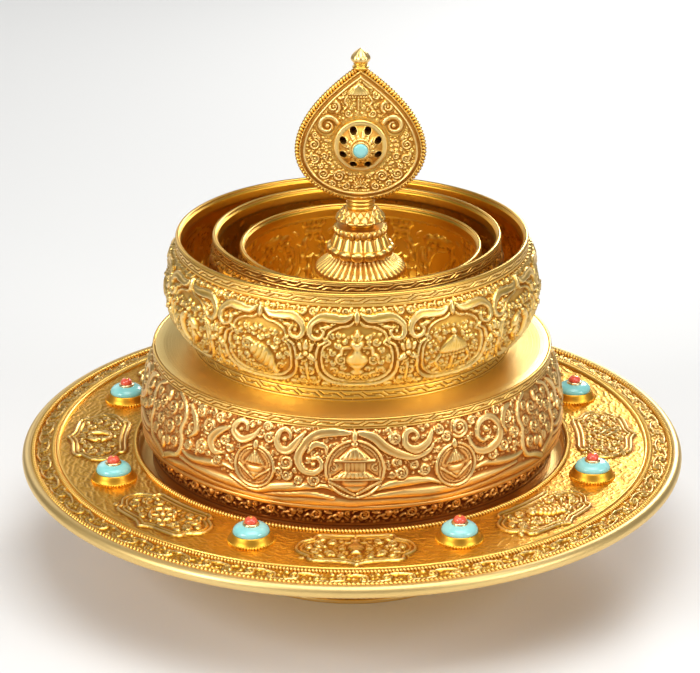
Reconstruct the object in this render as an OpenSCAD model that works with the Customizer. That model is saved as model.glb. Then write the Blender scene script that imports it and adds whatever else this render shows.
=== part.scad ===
// Mandala offering set: a footed tray with eight mounted stones, a drum base with a polished top plate,
// three nested offering rings and a leaf-shaped wheel finial. All lengths are in millimetres.
// The origin is the centre of the tray's foot, on the table, with +Z up and the front towards -Y.

/* [Tray] */
// Outer diameter over the rolled rim
tray_d = 320; // [300:1:360]
// Height of the tray's deck above the table
deck_h = 57; // [46:0.5:70]
// Thickness of the tray and foot sheet
tray_sheet = 1.6; // [1.2:0.1:2.2]
// Diameter of the rolled rim's round section
rim_roll_d = 6; // [5:0.2:7]
// How far the scroll border falls from the deck to the rim
border_drop = 2; // [1:0.1:2.4]
// Width of the scroll border between the middle and outer bead wires
border_w = 9.6; // [7:0.1:12]
// Width of each bead wire
bead_wire_w = 2.2; // [1.6:0.1:3]
// Height of each bead wire above the sheet it is soldered to
bead_wire_h = 1.5; // [1:0.1:2]
// Width of the plain ridge wire beside the middle bead wire
ridge_wire_w = 1.8; // [1.2:0.1:2.4]
// Depth of the well that the drum base stands in
well_depth = 7; // [5:0.5:9]
// Free gap all round between the base and the wall of the well
well_gap = 5; // [2:0.1:6]
// How far the tray is turned on the table, in degrees
tray_turn = 0.8; // [-3:0.1:3]

/* [Tray foot] */
// Diameter of the foot on the table
foot_d = 133; // [110:1:150]
// Diameter of the foot's waist
foot_waist_d = 108; // [90:1:116]
// Diameter of the foot where it is soldered under the tray
foot_top_d = 148; // [120:1:160]
// Height of the flat ring that the foot stands on
foot_ring_h = 2; // [1.5:0.1:4]
// Radial width of that ring
foot_ring_w = 8; // [6:0.5:12]
// Diameter of the rope wire above the foot ring
rope_wire_d = 2.6; // [1.8:0.1:3.2]

/* [Stones] */
// Number of mounted stones on the deck
stone_count = 8; // [4:1:10]
// How far the stones stand inwards from the middle of the deck
stone_inset = 1.9; // [0:0.1:3]
// Diameter of the flange under each collet
collet_flange_d = 21.8; // [20.8:0.2:24]
// Thickness of that flange
collet_flange_h = 1.2; // [0.8:0.1:2]
// Diameter of the conical collet cup at its foot
collet_foot_d = 20.2; // [18.6:0.1:20.6]
// Diameter of the collet cup at its lip
collet_d = 17.8; // [17.4:0.1:18.4]
// Height of the collet cup
collet_h = 4.6; // [3.4:0.1:6]
// Diameter of the turquoise bead
turquoise_d = 16.6; // [15:0.1:17]
// Height of the turquoise bead
turquoise_h = 7; // [6:0.1:9]
// Diameter of the pale collar under the coral
coral_collar_d = 8; // [7:0.1:9]
// Thickness of that collar
coral_collar_h = 0.9; // [0.6:0.1:1.4]
// Diameter of the coral bead
coral_d = 6.4; // [5.4:0.1:6.8]
// Height of the coral bead
coral_h = 2.6; // [2.2:0.1:4]
// Diameter of the pin that holds each stone
pin_d = 2; // [1.4:0.1:2.4]

/* [Drum base] */
// Diameter of the polished top plate
plate_d = 189.2; // [184:0.2:194]
// Thickness of the top plate
plate_t = 1.6; // [1.2:0.1:2.4]
// Height of the base from the well's floor to the plate
base_h = 58.5; // [50:0.5:66]
// Greatest diameter of the embossed wall
base_belly_d = 202.4; // [200:0.2:206]
// Thickness of the embossed sheet of the base and rings
wall_sheet = 1.2; // [1:0.1:1.6]
// Height of the fringe band round the foot of the base
fringe_h = 14; // [11:0.5:17]
// How far the belly stands out over the fringe's backing wall
belly_overhang = 4; // [3:0.1:5]
// Height of the key-fret band round the plate
base_fret_h = 4.8; // [3.6:0.1:6]
// Thickness of the applied bands
band_t = 1; // [0.8:0.1:1.4]
// Width of the stiffening ring inside the lower edge
stiffener_w = 7; // [5:0.5:10]
// Thickness of that ring
stiffener_h = 2; // [1.4:0.1:3]

/* [Offering rings] */
// Rim diameter of the large ring
large_ring_d = 167; // [166:0.2:170]
// Height of the large ring
large_ring_h = 55; // [48:0.5:62]
// Rim diameter of the medium ring
medium_ring_d = 136.6; // [134:0.2:137]
// Height of the medium ring
medium_ring_h = 55; // [48:0.5:62]
// Rim diameter of the small ring
small_ring_d = 114.6; // [112:0.2:115.4]
// Height of the small ring
small_ring_h = 49.5; // [44:0.5:58]
// How far the large ring's foot is smaller than its rim, on the radius
large_ring_step = 7.4; // [5:0.1:7.6]
// How far the medium ring's foot is smaller than its rim, on the radius
medium_ring_step = 2.6; // [2.4:0.1:4.2]
// How far the small ring's foot is smaller than its rim, on the radius
small_ring_step = 2.6; // [2.4:0.1:4.4]
// Where a ring's belly is fullest: half way up at 1, lower down below that
ring_fullness = 0.75; // [0.6:0.05:1]
// How far the embossed belly of the large ring stands out
large_ring_bulge = 9.6; // [8:0.1:10.4]
// How far the embossed belly of the medium ring stands out
medium_ring_bulge = 4.4; // [3.4:0.1:5]
// How far the embossed belly of the small ring stands out
small_ring_bulge = 4.2; // [3:0.1:5]
// Height of the key-fret band under a ring's rim
rim_band_h = 5; // [3.6:0.1:6]
// Height of the key-fret band at a ring's foot
foot_band_h = 8; // [6:0.1:9]
// Height of the round wire that caps a ring's rim
rim_wire_h = 1; // [0.8:0.1:1.6]
// How far the medium ring stands to the right of the axis
medium_ring_x = 2.3; // [1.9:0.1:2.6]
// How far the small ring stands to the right of the axis
small_ring_x = 4.1; // [2.6:0.1:4.4]
// How far the large ring is turned on the plate, in degrees
large_ring_turn = 1.5; // [-5:0.1:5]

/* [Embossed frames] */
// How far the embossed frames stand out of the sheet
relief_h = 1.2; // [0.6:0.1:1.6]
// Width of a raised frame
frame_w = 2.4; // [1.6:0.1:3]
// Length of each cartouche on the deck
deck_frame_w = 58; // [44:1:60]
// Clear deck between a cartouche and the wires on either side of it
deck_frame_margin = 4; // [2.6:0.1:7]
// Diameter of the boss in the middle of each deck cartouche
deck_boss_d = 9; // [6:0.2:12]
// Diameter of the four scrolls round that boss
deck_scroll_d = 6; // [4:0.2:8]
// Number of cartouches round the large ring
ring_frame_count = 12; // [10:1:14]
// Clear wall between two cartouches on the large ring
ring_frame_gap = 11; // [8:0.2:14]
// Clear wall below each cartouche on the large ring
ring_frame_low = 5; // [3:0.1:7]
// Clear wall above each cartouche on the large ring
ring_frame_top = 4; // [2:0.1:6]
// Diameter of the boss in the middle of each ring cartouche
ring_boss_d = 11; // [8:0.2:14]

/* [Finial] */
// How far the finial stands to the right of the axis
finial_x = 4; // [0:0.1:8]
// Height of the plain spigot that is pushed into the rice
spigot_h = 35; // [28:0.5:40]
// Diameter of the spigot
spigot_d = 30; // [26:0.5:34]
// Wall of the spigot and of the cast skirt and lotus
cast_wall = 1.8; // [1.4:0.1:2.4]
// Height of the flared petal skirt
skirt_h = 9; // [7:0.5:12]
// Diameter of the petal skirt
skirt_d = 43; // [38:0.2:48]
// Height of the lotus bell above the skirt
lotus_h = 14.3; // [12:0.1:16]
// Diameter of the lotus bell at its hanging petals
lotus_d = 30.6; // [28:0.2:33]
// Diameter of the ring at the top of the lotus bell
lotus_ring_d = 23.8; // [20:0.2:26]
// Height of the narrow collar between the lotus and the knop
collar_h = 1.2; // [0.8:0.1:3]
// Diameter of that collar
collar_d = 14; // [12:0.2:16]
// Height of the pointed knop
knop_h = 7.4; // [6:0.2:10]
// Diameter of the pointed knop
knop_d = 23.4; // [19:0.2:26]
// Height of the grooved neck below the leaf
neck_h = 3.4; // [2.6:0.1:6]
// Diameter of the grooved neck
neck_d = 13.6; // [12:0.2:16]
// Width of the leaf over its bead wire
leaf_w = 61.8; // [56:0.2:66]
// Length of the leaf below its widest point
leaf_low = 25; // [23:0.2:28]
// Length from the widest point to where the leaf's two sides would meet
leaf_up = 42; // [40:0.2:47]
// Width of the flat seat for the tip at the top of the leaf
leaf_seat_w = 6.4; // [5.6:0.1:7]
// Diameter of the bead wire round the leaf
leaf_wire_d = 2.8; // [2.2:0.1:3.4]
// Thickness of the leaf between its two plates
leaf_core_t = 5.2; // [4.4:0.1:7]
// Thickness of each leaf plate
leaf_plate_t = 1.6; // [1.2:0.1:2.2]
// Width of the strip that joins the two plates along their edge
leaf_strip_w = 1.6; // [1.2:0.1:2.4]
// Diameter of the wheel
wheel_d = 25.4; // [23:0.2:28]
// How far the wheel's centre lies below the leaf's widest point, or above it where negative
wheel_drop = -3.2; // [-4:0.1:3]
// How far the wheel rises from its rim to its hub
wheel_dome = 6; // [0:0.5:8]
// How far the wheel stands out of the leaf plate
wheel_stand = 0.8; // [0.4:0.1:1.6]
// Number of spokes, and of openings between them
wheel_spokes = 8; // [6:1:10]
// Diameter of each opening
wheel_opening_d = 3.2; // [2:0.1:3.6]
// Diameter of the turquoise at the hub
hub_stone_d = 6.8; // [5.4:0.1:7.2]
// Thickness of the dark disc behind the wheels
backing_t = 0.8; // [0.6:0.1:1.2]
// Height of the collar under the tip bud
tip_collar_h = 2.4; // [2:0.1:4]
// Height of the tip bud
tip_bud_h = 7.2; // [6:0.2:10]
// Diameter of the tip bud
tip_bud_d = 9.2; // [7:0.2:10]
// Diameter of the tie rod through the finial
rod_d = 4; // [3:0.1:5]
// Running clearance round the tie rod and the stone pins, on the radius
rod_gap = 0.1; // [0.05:0.05:0.2]
// Width across the flats of the tie rod's nut
nut_af = 8; // [7:0.5:9]
// Thickness of that nut
nut_h = 3.2; // [2.4:0.2:5]

/* [Hidden] */
$fn = 96;

gilt = [0.86, 0.62, 0.20];
polished_gilt = [0.80, 0.66, 0.30];
dark_gilt = [0.30, 0.17, 0.06];
turquoise = [0.53, 0.82, 0.84];
coral = [0.86, 0.30, 0.22];
silver = [0.90, 0.88, 0.84];

arc_steps = 12;
curve_steps = 18;
deck_frame_points = 24;
ring_frame_points = 8;
large_ring_sides = 60;
large_ring_steps = 8;

// Tray levels and radii
floor_z = deck_h - well_depth;
floor_under = floor_z - tray_sheet;
fringe_r = base_belly_d / 2 - belly_overhang + band_t;
well_r = fringe_r + well_gap;
tray_r = tray_d / 2;
dish_r = tray_r - 0.77 * rim_roll_d;
roll_r = tray_r - rim_roll_d / 2;
outer_wire_r = dish_r - bead_wire_w / 2;
middle_wire_r = outer_wire_r - border_w;
ridge_wire_r = middle_wire_r - (bead_wire_w + ridge_wire_w) / 2;
inner_wire_r = well_r + tray_sheet / 2 + bead_wire_w / 2;
border_r = middle_wire_r + bead_wire_w / 2;
deck_mid_r = (inner_wire_r + ridge_wire_r) / 2;
stone_r = deck_mid_r - stone_inset;
deck_frame_h = ridge_wire_r - inner_wire_r - 2 * deck_frame_margin;

// Base levels and radii
base_z = floor_z;
plate_z = base_z + base_h;
plate_r = plate_d / 2;
belly_r = base_belly_d / 2;
fringe_wall_r = belly_r - belly_overhang;
shoulder_z = fringe_h + bead_wire_w;
belly_z = shoulder_z + belly_overhang * 0.4;
wall_top_z = base_h - plate_t;
fret_z = base_h - base_fret_h;

// Finial levels, each piece seated on the one below
skirt_z = plate_z + spigot_h;
lotus_z = skirt_z + skirt_h;
collar_z = lotus_z + lotus_h;
knop_z = collar_z + collar_h;
neck_z = knop_z + knop_h;
saddle_h = leaf_wire_d * 0.8;
leaf_foot_z = neck_z + neck_h;
leaf_mid_z = leaf_foot_z + leaf_low;
leaf_power = 1.9;
tip_taper = 1.277;
leaf_top_z = leaf_mid_z + leaf_rise(0, leaf_seat_w / 2);
bud_z = leaf_top_z + tip_collar_h;
wheel_z = leaf_mid_z - wheel_drop;
plate_face = leaf_core_t / 2 + leaf_plate_t;
wheel_face = plate_face + wheel_stand;
hub_face = wheel_face + wheel_dome;
rod_bore_r = rod_d / 2 + rod_gap;
rod_top_z = leaf_foot_z + leaf_wire_d + leaf_strip_w + rod_gap;
rod_low_z = skirt_z - nut_h - rod_gap;

// Height of the deck's upper face at a radius: flat, then falling across the border
function deck_z(r) =
    r <= border_r ? deck_h : deck_h - border_drop * (r - border_r) / (dish_r - border_r);

// Half of a leaf outline's width at a height above its widest point
function leaf_half(inset, h) =
    (leaf_w / 2 - inset) * (1 - pow(h / (leaf_up - tip_taper * inset), leaf_power));

// Height above the widest point at which a leaf outline has a given half width
function leaf_rise(inset, half) =
    (leaf_up - tip_taper * inset) * pow(1 - half / (leaf_w / 2 - inset), 1 / leaf_power);

// Right side of a leaf outline, from the bottom to the flat seat: an ellipse below, a power curve above
function leaf_side(inset, seat) = concat(
    [for (i = [0:curve_steps - 1]) let (a = -90 + 90 * i / curve_steps)
        [(leaf_w / 2 - inset) * cos(a), (leaf_low - inset) * sin(a)]],
    [for (i = [0:curve_steps]) let (h = leaf_rise(inset, seat) * i / curve_steps)
        [leaf_half(inset, h), h]]);

// A closed leaf outline, drawn inside the outermost one by inset
function leaf_outline(inset, seat) =
    let (side = leaf_side(inset, seat), n = len(side))
    concat(side, [for (i = [n - 1:-1:1]) [-side[i][0], side[i][1]]]);

// Belly of the drum base, from its overhang up to the fret band
function base_curve(inset) = [
    for (i = [0:curve_steps]) let (t = i / curve_steps, out = (belly_r - plate_r) * pow(cos(90 * t), 0.75))
        [plate_r + out - inset, belly_z + (fret_z - belly_z) * t]];

// Height of a ring's belly, between its foot band and its rim band
function ring_belly_h(h) = h - rim_wire_h - rim_band_h - foot_band_h;

// Outer radius of a ring's belly, at a share t of the belly's height
function ring_r(r_foot, r_rim, bulge, t) =
    r_foot + (r_rim - r_foot) * t + bulge * pow(max(0, sin(180 * pow(t, ring_fullness))), 0.8);

// Belly of a ring, from its foot band up to its rim band
function ring_curve(r_foot, r_rim, bulge, h, inset, steps) = [
    for (i = [0:steps]) let (t = i / steps)
        [ring_r(r_foot, r_rim, bulge, t) - inset, foot_band_h + ring_belly_h(h) * t]];

// A cartouche outline with eight lobes, drawn inside the outermost one by inset
function lobed_outline(w, h, inset) = [
    for (i = [0:deck_frame_points - 1])
        let (a = 360 * i / deck_frame_points, lobe = 0.93 + 0.07 * cos(8 * a))
        [(w / 2 - inset) * lobe * cos(a), (h / 2 - inset) * lobe * sin(a)]];

// A cartouche outline that is round below and drawn to a point above
function pointed_outline(w, h, inset) = [
    for (i = [0:ring_frame_points - 1]) let (a = 360 * i / ring_frame_points,
        half = a < 180 ? 1 - pow(sin(a), 1.7) : abs(cos(a)))
        [sign(cos(a)) * (w / 2 - inset) * half, (h / 2 - inset) * sin(a)]];

// A half-round wire lying on the deck at radius r
module deck_wire(r, w, h) {
    rotate_extrude()
        polygon([for (i = [0:arc_steps]) let (a = 180 * i / arc_steps, x = r + w / 2 * cos(a))
            [x, deck_z(x) + h * sin(a)]]);
}

// A plain tube standing on z, between two radii
module tube(z, h, r_in, r_out) {
    translate([0, 0, z]) difference() {
        cylinder(h = h, r = r_out);
        translate([0, 0, -1]) cylinder(h = h + 2, r = r_in);
    }
}

// A turned solid with a vertical bore for the tie rod
module turned(profile) {
    difference() {
        rotate_extrude() polygon(profile);
        translate([0, 0, skirt_z - spigot_h]) cylinder(h = leaf_top_z, r = rod_bore_r);
    }
}

module at_stones() {
    for (i = [0:stone_count - 1])
        rotate([0, 0, 360 * (i + 0.5) / stone_count - 90 + tray_turn])
            translate([stone_r, 0, deck_h]) children();
}

module at_finial() {
    translate([finial_x, 0, 0]) children();
}

// Extrudes a leaf outline between two depths, upright and facing the front
module leaf_slab(y_front, y_back) {
    translate([0, y_back, leaf_mid_z]) rotate([90, 0, 0])
        linear_extrude(height = y_back - y_front) children();
}

module at_wheel(y) {
    translate([0, y, wheel_z]) rotate([90, 0, 0]) children();
}

// Tray: a raised cartouche, flat on the deck, with a boss and four scrolls in its frame
module deck_cartouche() {
    linear_extrude(height = tray_sheet / 2 + relief_h) {
        difference() {
            polygon(lobed_outline(deck_frame_w, deck_frame_h, 0));
            polygon(lobed_outline(deck_frame_w, deck_frame_h, frame_w));
        }
        circle(d = deck_boss_d, $fn = 16);
        for (x = [-1, 1], y = [-1, 1])
            translate([x * (deck_boss_d + deck_scroll_d) * 0.7, y * deck_frame_h * 0.18])
                circle(d = deck_scroll_d, $fn = 12);
    }
}

module tray_dish() {
    color(gilt) difference() {
        union() {
            rotate_extrude() polygon([
                [0, floor_under], [well_r + tray_sheet, floor_under],
                [well_r + tray_sheet, deck_h - tray_sheet], [border_r, deck_h - tray_sheet],
                [dish_r, deck_z(dish_r) - tray_sheet], [dish_r, deck_z(dish_r)],
                [border_r, deck_h], [well_r, deck_h], [well_r, floor_z], [0, floor_z]]);
            for (i = [0:stone_count - 1])
                rotate([0, 0, 360 * i / stone_count + tray_turn])
                    translate([0, -deck_mid_r, deck_h - tray_sheet / 2]) deck_cartouche();
        }
        at_stones() translate([0, 0, -2 * tray_sheet])
            cylinder(h = 3 * tray_sheet, r = pin_d / 2 + rod_gap);
    }
}

module tray_rim_roll() {
    color(gilt) rotate_extrude() difference() {
        translate([roll_r, deck_h - rim_roll_d / 2]) circle(d = rim_roll_d);
        translate([dish_r - rim_roll_d, deck_h - 2 * rim_roll_d]) square([rim_roll_d, 3 * rim_roll_d]);
    }
}

module tray_outer_bead_wire() {
    color(gilt) deck_wire(outer_wire_r, bead_wire_w, bead_wire_h);
}

module tray_middle_bead_wire() {
    color(gilt) deck_wire(middle_wire_r, bead_wire_w, bead_wire_h);
}

module tray_ridge_wire() {
    color(gilt) deck_wire(ridge_wire_r, ridge_wire_w, bead_wire_h * 0.7);
}

module tray_inner_bead_wire() {
    color(gilt) deck_wire(inner_wire_r, bead_wire_w, bead_wire_h);
}

// A trumpet foot between the foot ring and the underside of the dish
module tray_foot() {
    low = foot_ring_h;
    rise = floor_under - low;
    r_low = foot_d / 2 - rope_wire_d;
    r_waist = foot_waist_d / 2;
    r_top = foot_top_d / 2;
    waist = 0.5;
    outside = [for (i = [0:curve_steps]) let (t = i / curve_steps,
        r = t < waist ? r_waist + (r_low - r_waist) * pow(1 - t / waist, 2)
                      : r_waist + (r_top - r_waist) * pow((t - waist) / (1 - waist), 2))
        [r, low + rise * t]];
    inside = [for (i = [curve_steps:-1:0]) [outside[i][0] - tray_sheet, outside[i][1]]];
    color(gilt) rotate_extrude() polygon(concat(outside, inside));
}

module tray_foot_ring() {
    color(gilt) tube(0, foot_ring_h, foot_d / 2 - foot_ring_w, foot_d / 2);
}

// A round wire laid in the corner above the foot ring
module tray_rope_wire() {
    color(gilt) rotate_extrude()
        polygon([for (i = [0:2 * arc_steps]) let (a = -90 + 180 * i / (2 * arc_steps))
            [foot_d / 2 - rope_wire_d + rope_wire_d * cos(a) * 0.96,
             foot_ring_h + rope_wire_d / 2 + rope_wire_d / 2 * sin(a)]]);
}

// Stones
module stone_collets() {
    seat_z = collet_flange_h;
    color(gilt) at_stones() rotate_extrude() polygon([
        [pin_d / 2 + rod_gap, 0], [collet_flange_d / 2, 0], [collet_flange_d / 2, collet_flange_h],
        [collet_foot_d / 2, collet_flange_h], [collet_d / 2, collet_h],
        for (i = [arc_steps:-1:0]) let (z = seat_z + (collet_h - seat_z) * i / arc_steps)
            [turquoise_side(z), z],
        [pin_d / 2 + rod_gap, seat_z]]);
}

// Radius of the turquoise bead at a height above the deck, with small flats above and below
function turquoise_side(z) =
    let (u = (z - collet_flange_h - turquoise_h / 2) / (turquoise_h / 2))
    turquoise_d / 2 * pow(max(0, 1 - pow(abs(u), 2.4) * 0.82), 0.5);

module turquoise_beads() {
    low = collet_flange_h;
    top = collet_flange_h + turquoise_h;
    seated = [for (i = [0:arc_steps]) low + (collet_h - low) * i / arc_steps];
    shown = [for (i = [1:2 * arc_steps]) collet_h + (top - collet_h) * i / (2 * arc_steps)];
    color(turquoise) at_stones() rotate_extrude() polygon(concat(
        [[pin_d / 2 + rod_gap, low]],
        [for (z = concat(seated, shown)) [turquoise_side(z), z]],
        [[pin_d / 2 + rod_gap, top]]));
}

module coral_collars() {
    color(silver) at_stones()
        tube(collet_flange_h + turquoise_h, coral_collar_h, pin_d / 2 + rod_gap, coral_collar_d / 2);
}

module coral_beads() {
    z = collet_flange_h + turquoise_h + coral_collar_h;
    color(coral) at_stones() translate([0, 0, z]) difference() {
        rotate_extrude() polygon(concat([[0, 0]], [for (i = [0:arc_steps]) let (a = 90 * i / arc_steps)
            [coral_d / 2 * pow(cos(a), 0.7), coral_h * sin(a)]]));
        translate([0, 0, -1]) cylinder(h = 1 + coral_h * 0.5 + rod_gap, r = pin_d / 2 + rod_gap);
    }
}

// Rivets from under the deck up into the coral beads
module stone_pins() {
    head_h = pin_d * 0.6;
    top = collet_flange_h + turquoise_h + coral_collar_h + coral_h * 0.5;
    color(gilt) at_stones() {
        translate([0, 0, -tray_sheet - head_h]) cylinder(h = head_h, r = pin_d * 1.2);
        translate([0, 0, -tray_sheet]) cylinder(h = top + tray_sheet, r = pin_d / 2);
    }
}

// Drum base
module base_wall() {
    color(gilt) translate([0, 0, base_z]) rotate_extrude() polygon(concat(
        [[fringe_wall_r, 0], [fringe_wall_r, shoulder_z]],
        base_curve(0),
        [[plate_r, wall_top_z], [plate_r - wall_sheet, wall_top_z]],
        [for (i = [curve_steps:-1:0]) base_curve(wall_sheet)[i]],
        [[fringe_wall_r - wall_sheet, shoulder_z + wall_sheet], [fringe_wall_r - wall_sheet, 0]]));
}

module base_plate() {
    color(polished_gilt) translate([0, 0, base_z + wall_top_z])
        cylinder(h = plate_t, r = plate_r, $fn = 180);
}

module base_fret_band() {
    color(gilt) tube(base_z + fret_z, base_fret_h, plate_r, plate_r + band_t);
}

// A half-round wire under the belly's overhang, soldered to the fringe wall
module base_bead_wire() {
    color(gilt) translate([0, 0, base_z + shoulder_z - bead_wire_w / 2]) rotate_extrude()
        polygon([for (i = [0:arc_steps]) let (a = -90 + 180 * i / arc_steps)
            [fringe_wall_r + (band_t + bead_wire_h * 0.7) * cos(a), bead_wire_w / 2 * sin(a)]]);
}

module base_fringe() {
    color(gilt) tube(base_z, fringe_h, fringe_wall_r, fringe_wall_r + band_t);
}

module base_stiffener() {
    outer = fringe_wall_r - wall_sheet;
    color(gilt) tube(base_z, stiffener_h, outer - stiffener_w, outer);
}

// Offering rings: the embossed wall stands on the plate, with a band at its foot and under its rim
module ring_wall(d, h, step, bulge, steps) {
    r_rim = d / 2 - band_t;
    r_foot = r_rim - step;
    top = h - rim_wire_h;
    outside = ring_curve(r_foot, r_rim, bulge, h, 0, steps);
    inside = ring_curve(r_foot, r_rim, bulge, h, wall_sheet, steps);
    color(gilt) translate([0, 0, plate_z]) rotate_extrude() polygon(concat(
        [[r_foot, 0]], outside, [[r_rim, top], [r_rim - wall_sheet, top]],
        [for (i = [steps:-1:0]) inside[i]], [[r_foot - wall_sheet, 0]]));
}

// Cartouche frames that stand out of the belly of the large ring, with a boss in the middle of each
module large_ring_relief() {
    r_rim = large_ring_d / 2 - band_t;
    r_foot = r_rim - large_ring_step;
    r_belly = (r_rim + r_foot) / 2 + large_ring_bulge;
    belly_h = ring_belly_h(large_ring_h);
    wide = 2 * PI * r_belly / ring_frame_count - ring_frame_gap;
    high = belly_h - ring_frame_low - ring_frame_top;
    mid_z = ring_frame_low + high / 2;
    outline = pointed_outline(wide, high, frame_w / 2);

    function belly(t) = ring_r(r_foot, r_rim, large_ring_bulge, t);

    // Carries its children to a place on the belly, x along the wall and y up from the frame's middle,
    // and tilts them with the wall there
    module on_belly(x, y) {
        t = (mid_z + y) / belly_h;
        tilt = atan((belly(t + 0.01) - belly(t - 0.01)) / (0.02 * belly_h));
        rotate([0, 0, x / r_belly * 180 / PI]) translate([belly(t), 0, foot_band_h + mid_z + y])
            rotate([0, tilt, 0]) children();
    }

    // A bar's end, sunk half way into the sheet
    module bar_end(point) {
        on_belly(point[0], point[1]) translate([-wall_sheet / 2, -frame_w / 2, -frame_w / 2])
            cube([wall_sheet / 2 + relief_h, frame_w, frame_w]);
    }

    color(gilt) translate([0, 0, plate_z]) for (i = [0:ring_frame_count - 1])
        rotate([0, 0, 360 * i / ring_frame_count - 90 + large_ring_turn]) {
            for (k = [0:ring_frame_points - 1]) hull() {
                bar_end(outline[k]);
                bar_end(outline[(k + 1) % ring_frame_points]);
            }
            on_belly(0, -high * 0.15) scale([2 * relief_h / ring_boss_d, 1, 1])
                sphere(d = ring_boss_d, $fn = 8);
        }
}

module large_ring_wall() {
    ring_wall(large_ring_d, large_ring_h, large_ring_step, large_ring_bulge, large_ring_steps,
        $fn = large_ring_sides);
    large_ring_relief();
}

module ring_rim_band(d, h) {
    color(gilt) tube(plate_z + h - rim_wire_h - rim_band_h, rim_band_h, d / 2 - band_t, d / 2);
}

module ring_foot_band(d, step) {
    r_foot = d / 2 - band_t - step;
    color(gilt) tube(plate_z, foot_band_h, r_foot, r_foot + band_t);
}

// A round wire that caps the wall and its band
module ring_rim_wire(d, h) {
    half = (band_t + wall_sheet) / 2;
    color(gilt) translate([0, 0, plate_z + h - rim_wire_h]) rotate_extrude()
        polygon([for (i = [0:arc_steps]) let (a = 180 * i / arc_steps)
            [d / 2 - half + half * cos(a), rim_wire_h * sin(a)]]);
}

module at_medium() {
    translate([medium_ring_x, 0, 0]) children();
}

module at_small() {
    translate([small_ring_x, 0, 0]) children();
}

// Finial: the spigot is a plain open tube, so that rice fills it
module finial_spigot() {
    color(gilt) at_finial() tube(plate_z, spigot_h, spigot_d / 2 - cast_wall, spigot_d / 2);
}

// A flared skirt: a flat floor on the spigot, a turned lip and a sloping rise to the lotus
module finial_skirt() {
    r = skirt_d / 2;
    r_top = lotus_d * 0.42;
    lip_h = skirt_h * 0.28;
    color(gilt) at_finial() turned(concat(
        [[0, skirt_z], [spigot_d / 2, skirt_z]],
        [for (i = [0:arc_steps]) let (a = -90 + 180 * i / arc_steps)
            [r + lip_h / 2 * (cos(a) - 1), skirt_z + lip_h / 2 * (1 + sin(a))]],
        [for (i = [1:arc_steps]) let (t = i / arc_steps)
            [r_top + (r - lip_h / 2 - r_top) * pow(1 - t, 1.1), skirt_z + lip_h + (skirt_h - lip_h) * t]],
        [[0, skirt_z + skirt_h]]));
}

// A bell of hanging petals under a rounded ring
module finial_lotus() {
    r = lotus_d / 2;
    r_low = lotus_d * 0.42;
    r_top = collar_d / 2 + 1;
    r_ring = lotus_ring_d / 2;
    ring_h = lotus_h * 0.24;
    r_waist = r_ring - ring_h * 0.25;
    lip_h = lotus_h * 0.15;
    waist_z = lotus_h * 0.75;
    color(gilt) at_finial() turned(concat(
        [[0, lotus_z], [r_low, lotus_z]],
        [for (i = [0:arc_steps]) let (t = i / arc_steps)
            [r_low + (r - r_low) * sin(90 * t), lotus_z + lip_h * t]],
        [for (i = [1:arc_steps]) let (t = i / arc_steps)
            [r + (r_waist - r) * pow(t, 0.8), lotus_z + lip_h + (waist_z - lip_h) * t]],
        [for (i = [1:arc_steps]) let (a = -90 + 180 * i / arc_steps)
            [r_waist + (r_ring - r_waist) * cos(a), lotus_z + waist_z + ring_h / 2 * (1 + sin(a))]],
        [[r_top, lotus_z + lotus_h], [0, lotus_z + lotus_h]]));
}

module finial_collar() {
    color(gilt) at_finial() difference() {
        translate([0, 0, collar_z]) cylinder(h = collar_h, r = collar_d / 2);
        translate([0, 0, collar_z - 1]) cylinder(h = collar_h + 2, r = rod_bore_r);
    }
}

module finial_knop() {
    r = knop_d / 2;
    r_end = collar_d / 2;
    color(gilt) at_finial() turned([
        [0, knop_z], [r_end, knop_z], [r * 0.92, knop_z + knop_h * 0.22], [r, knop_z + knop_h * 0.32],
        [r * 0.95, knop_z + knop_h * 0.42], [neck_d / 2, knop_z + knop_h], [0, knop_z + knop_h]]);
}

// The neck wraps the lowest stretch of the leaf's bead wire
module finial_neck() {
    r = neck_d / 2;
    top = neck_h + saddle_h;
    color(gilt) at_finial() difference() {
        turned([
            [0, neck_z], [r, neck_z], [r, neck_z + top * 0.28], [r * 0.88, neck_z + top * 0.4],
            [r, neck_z + top * 0.52], [r, neck_z + top], [0, neck_z + top]]);
        leaf_slab(-leaf_wire_d / 2, leaf_wire_d / 2) polygon(leaf_outline(0, leaf_seat_w / 2));
    }
}

module leaf_bead_wire() {
    color(gilt) at_finial() difference() {
        leaf_slab(-leaf_wire_d / 2, leaf_wire_d / 2) difference() {
            polygon(leaf_outline(0, leaf_seat_w / 2));
            polygon(leaf_outline(leaf_wire_d, leaf_seat_w / 6));
        }
        translate([0, 0, neck_z]) cylinder(h = leaf_low, r = rod_bore_r);
    }
}

// The strip that closes the leaf's edge between its two plates
module leaf_strip() {
    color(gilt) at_finial() difference() {
        leaf_slab(-leaf_core_t / 2, leaf_core_t / 2) difference() {
            polygon(leaf_outline(leaf_wire_d, leaf_seat_w / 6));
            polygon(leaf_outline(leaf_wire_d + leaf_strip_w, leaf_seat_w / 8));
        }
        translate([0, 0, neck_z]) cylinder(h = leaf_low, r = rod_bore_r);
    }
}

// A leaf plate with a round opening for the wheel; side is -1 at the front and 1 at the back
module leaf_plate(side) {
    inner = side * leaf_core_t / 2;
    outer = side * plate_face;
    color(gilt) at_finial() difference() {
        leaf_slab(min(inner, outer), max(inner, outer))
            polygon(leaf_outline(leaf_wire_d, leaf_seat_w / 6));
        at_wheel(plate_face + 1) cylinder(h = 2 * plate_face + 2, r = wheel_d / 2);
    }
}

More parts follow.
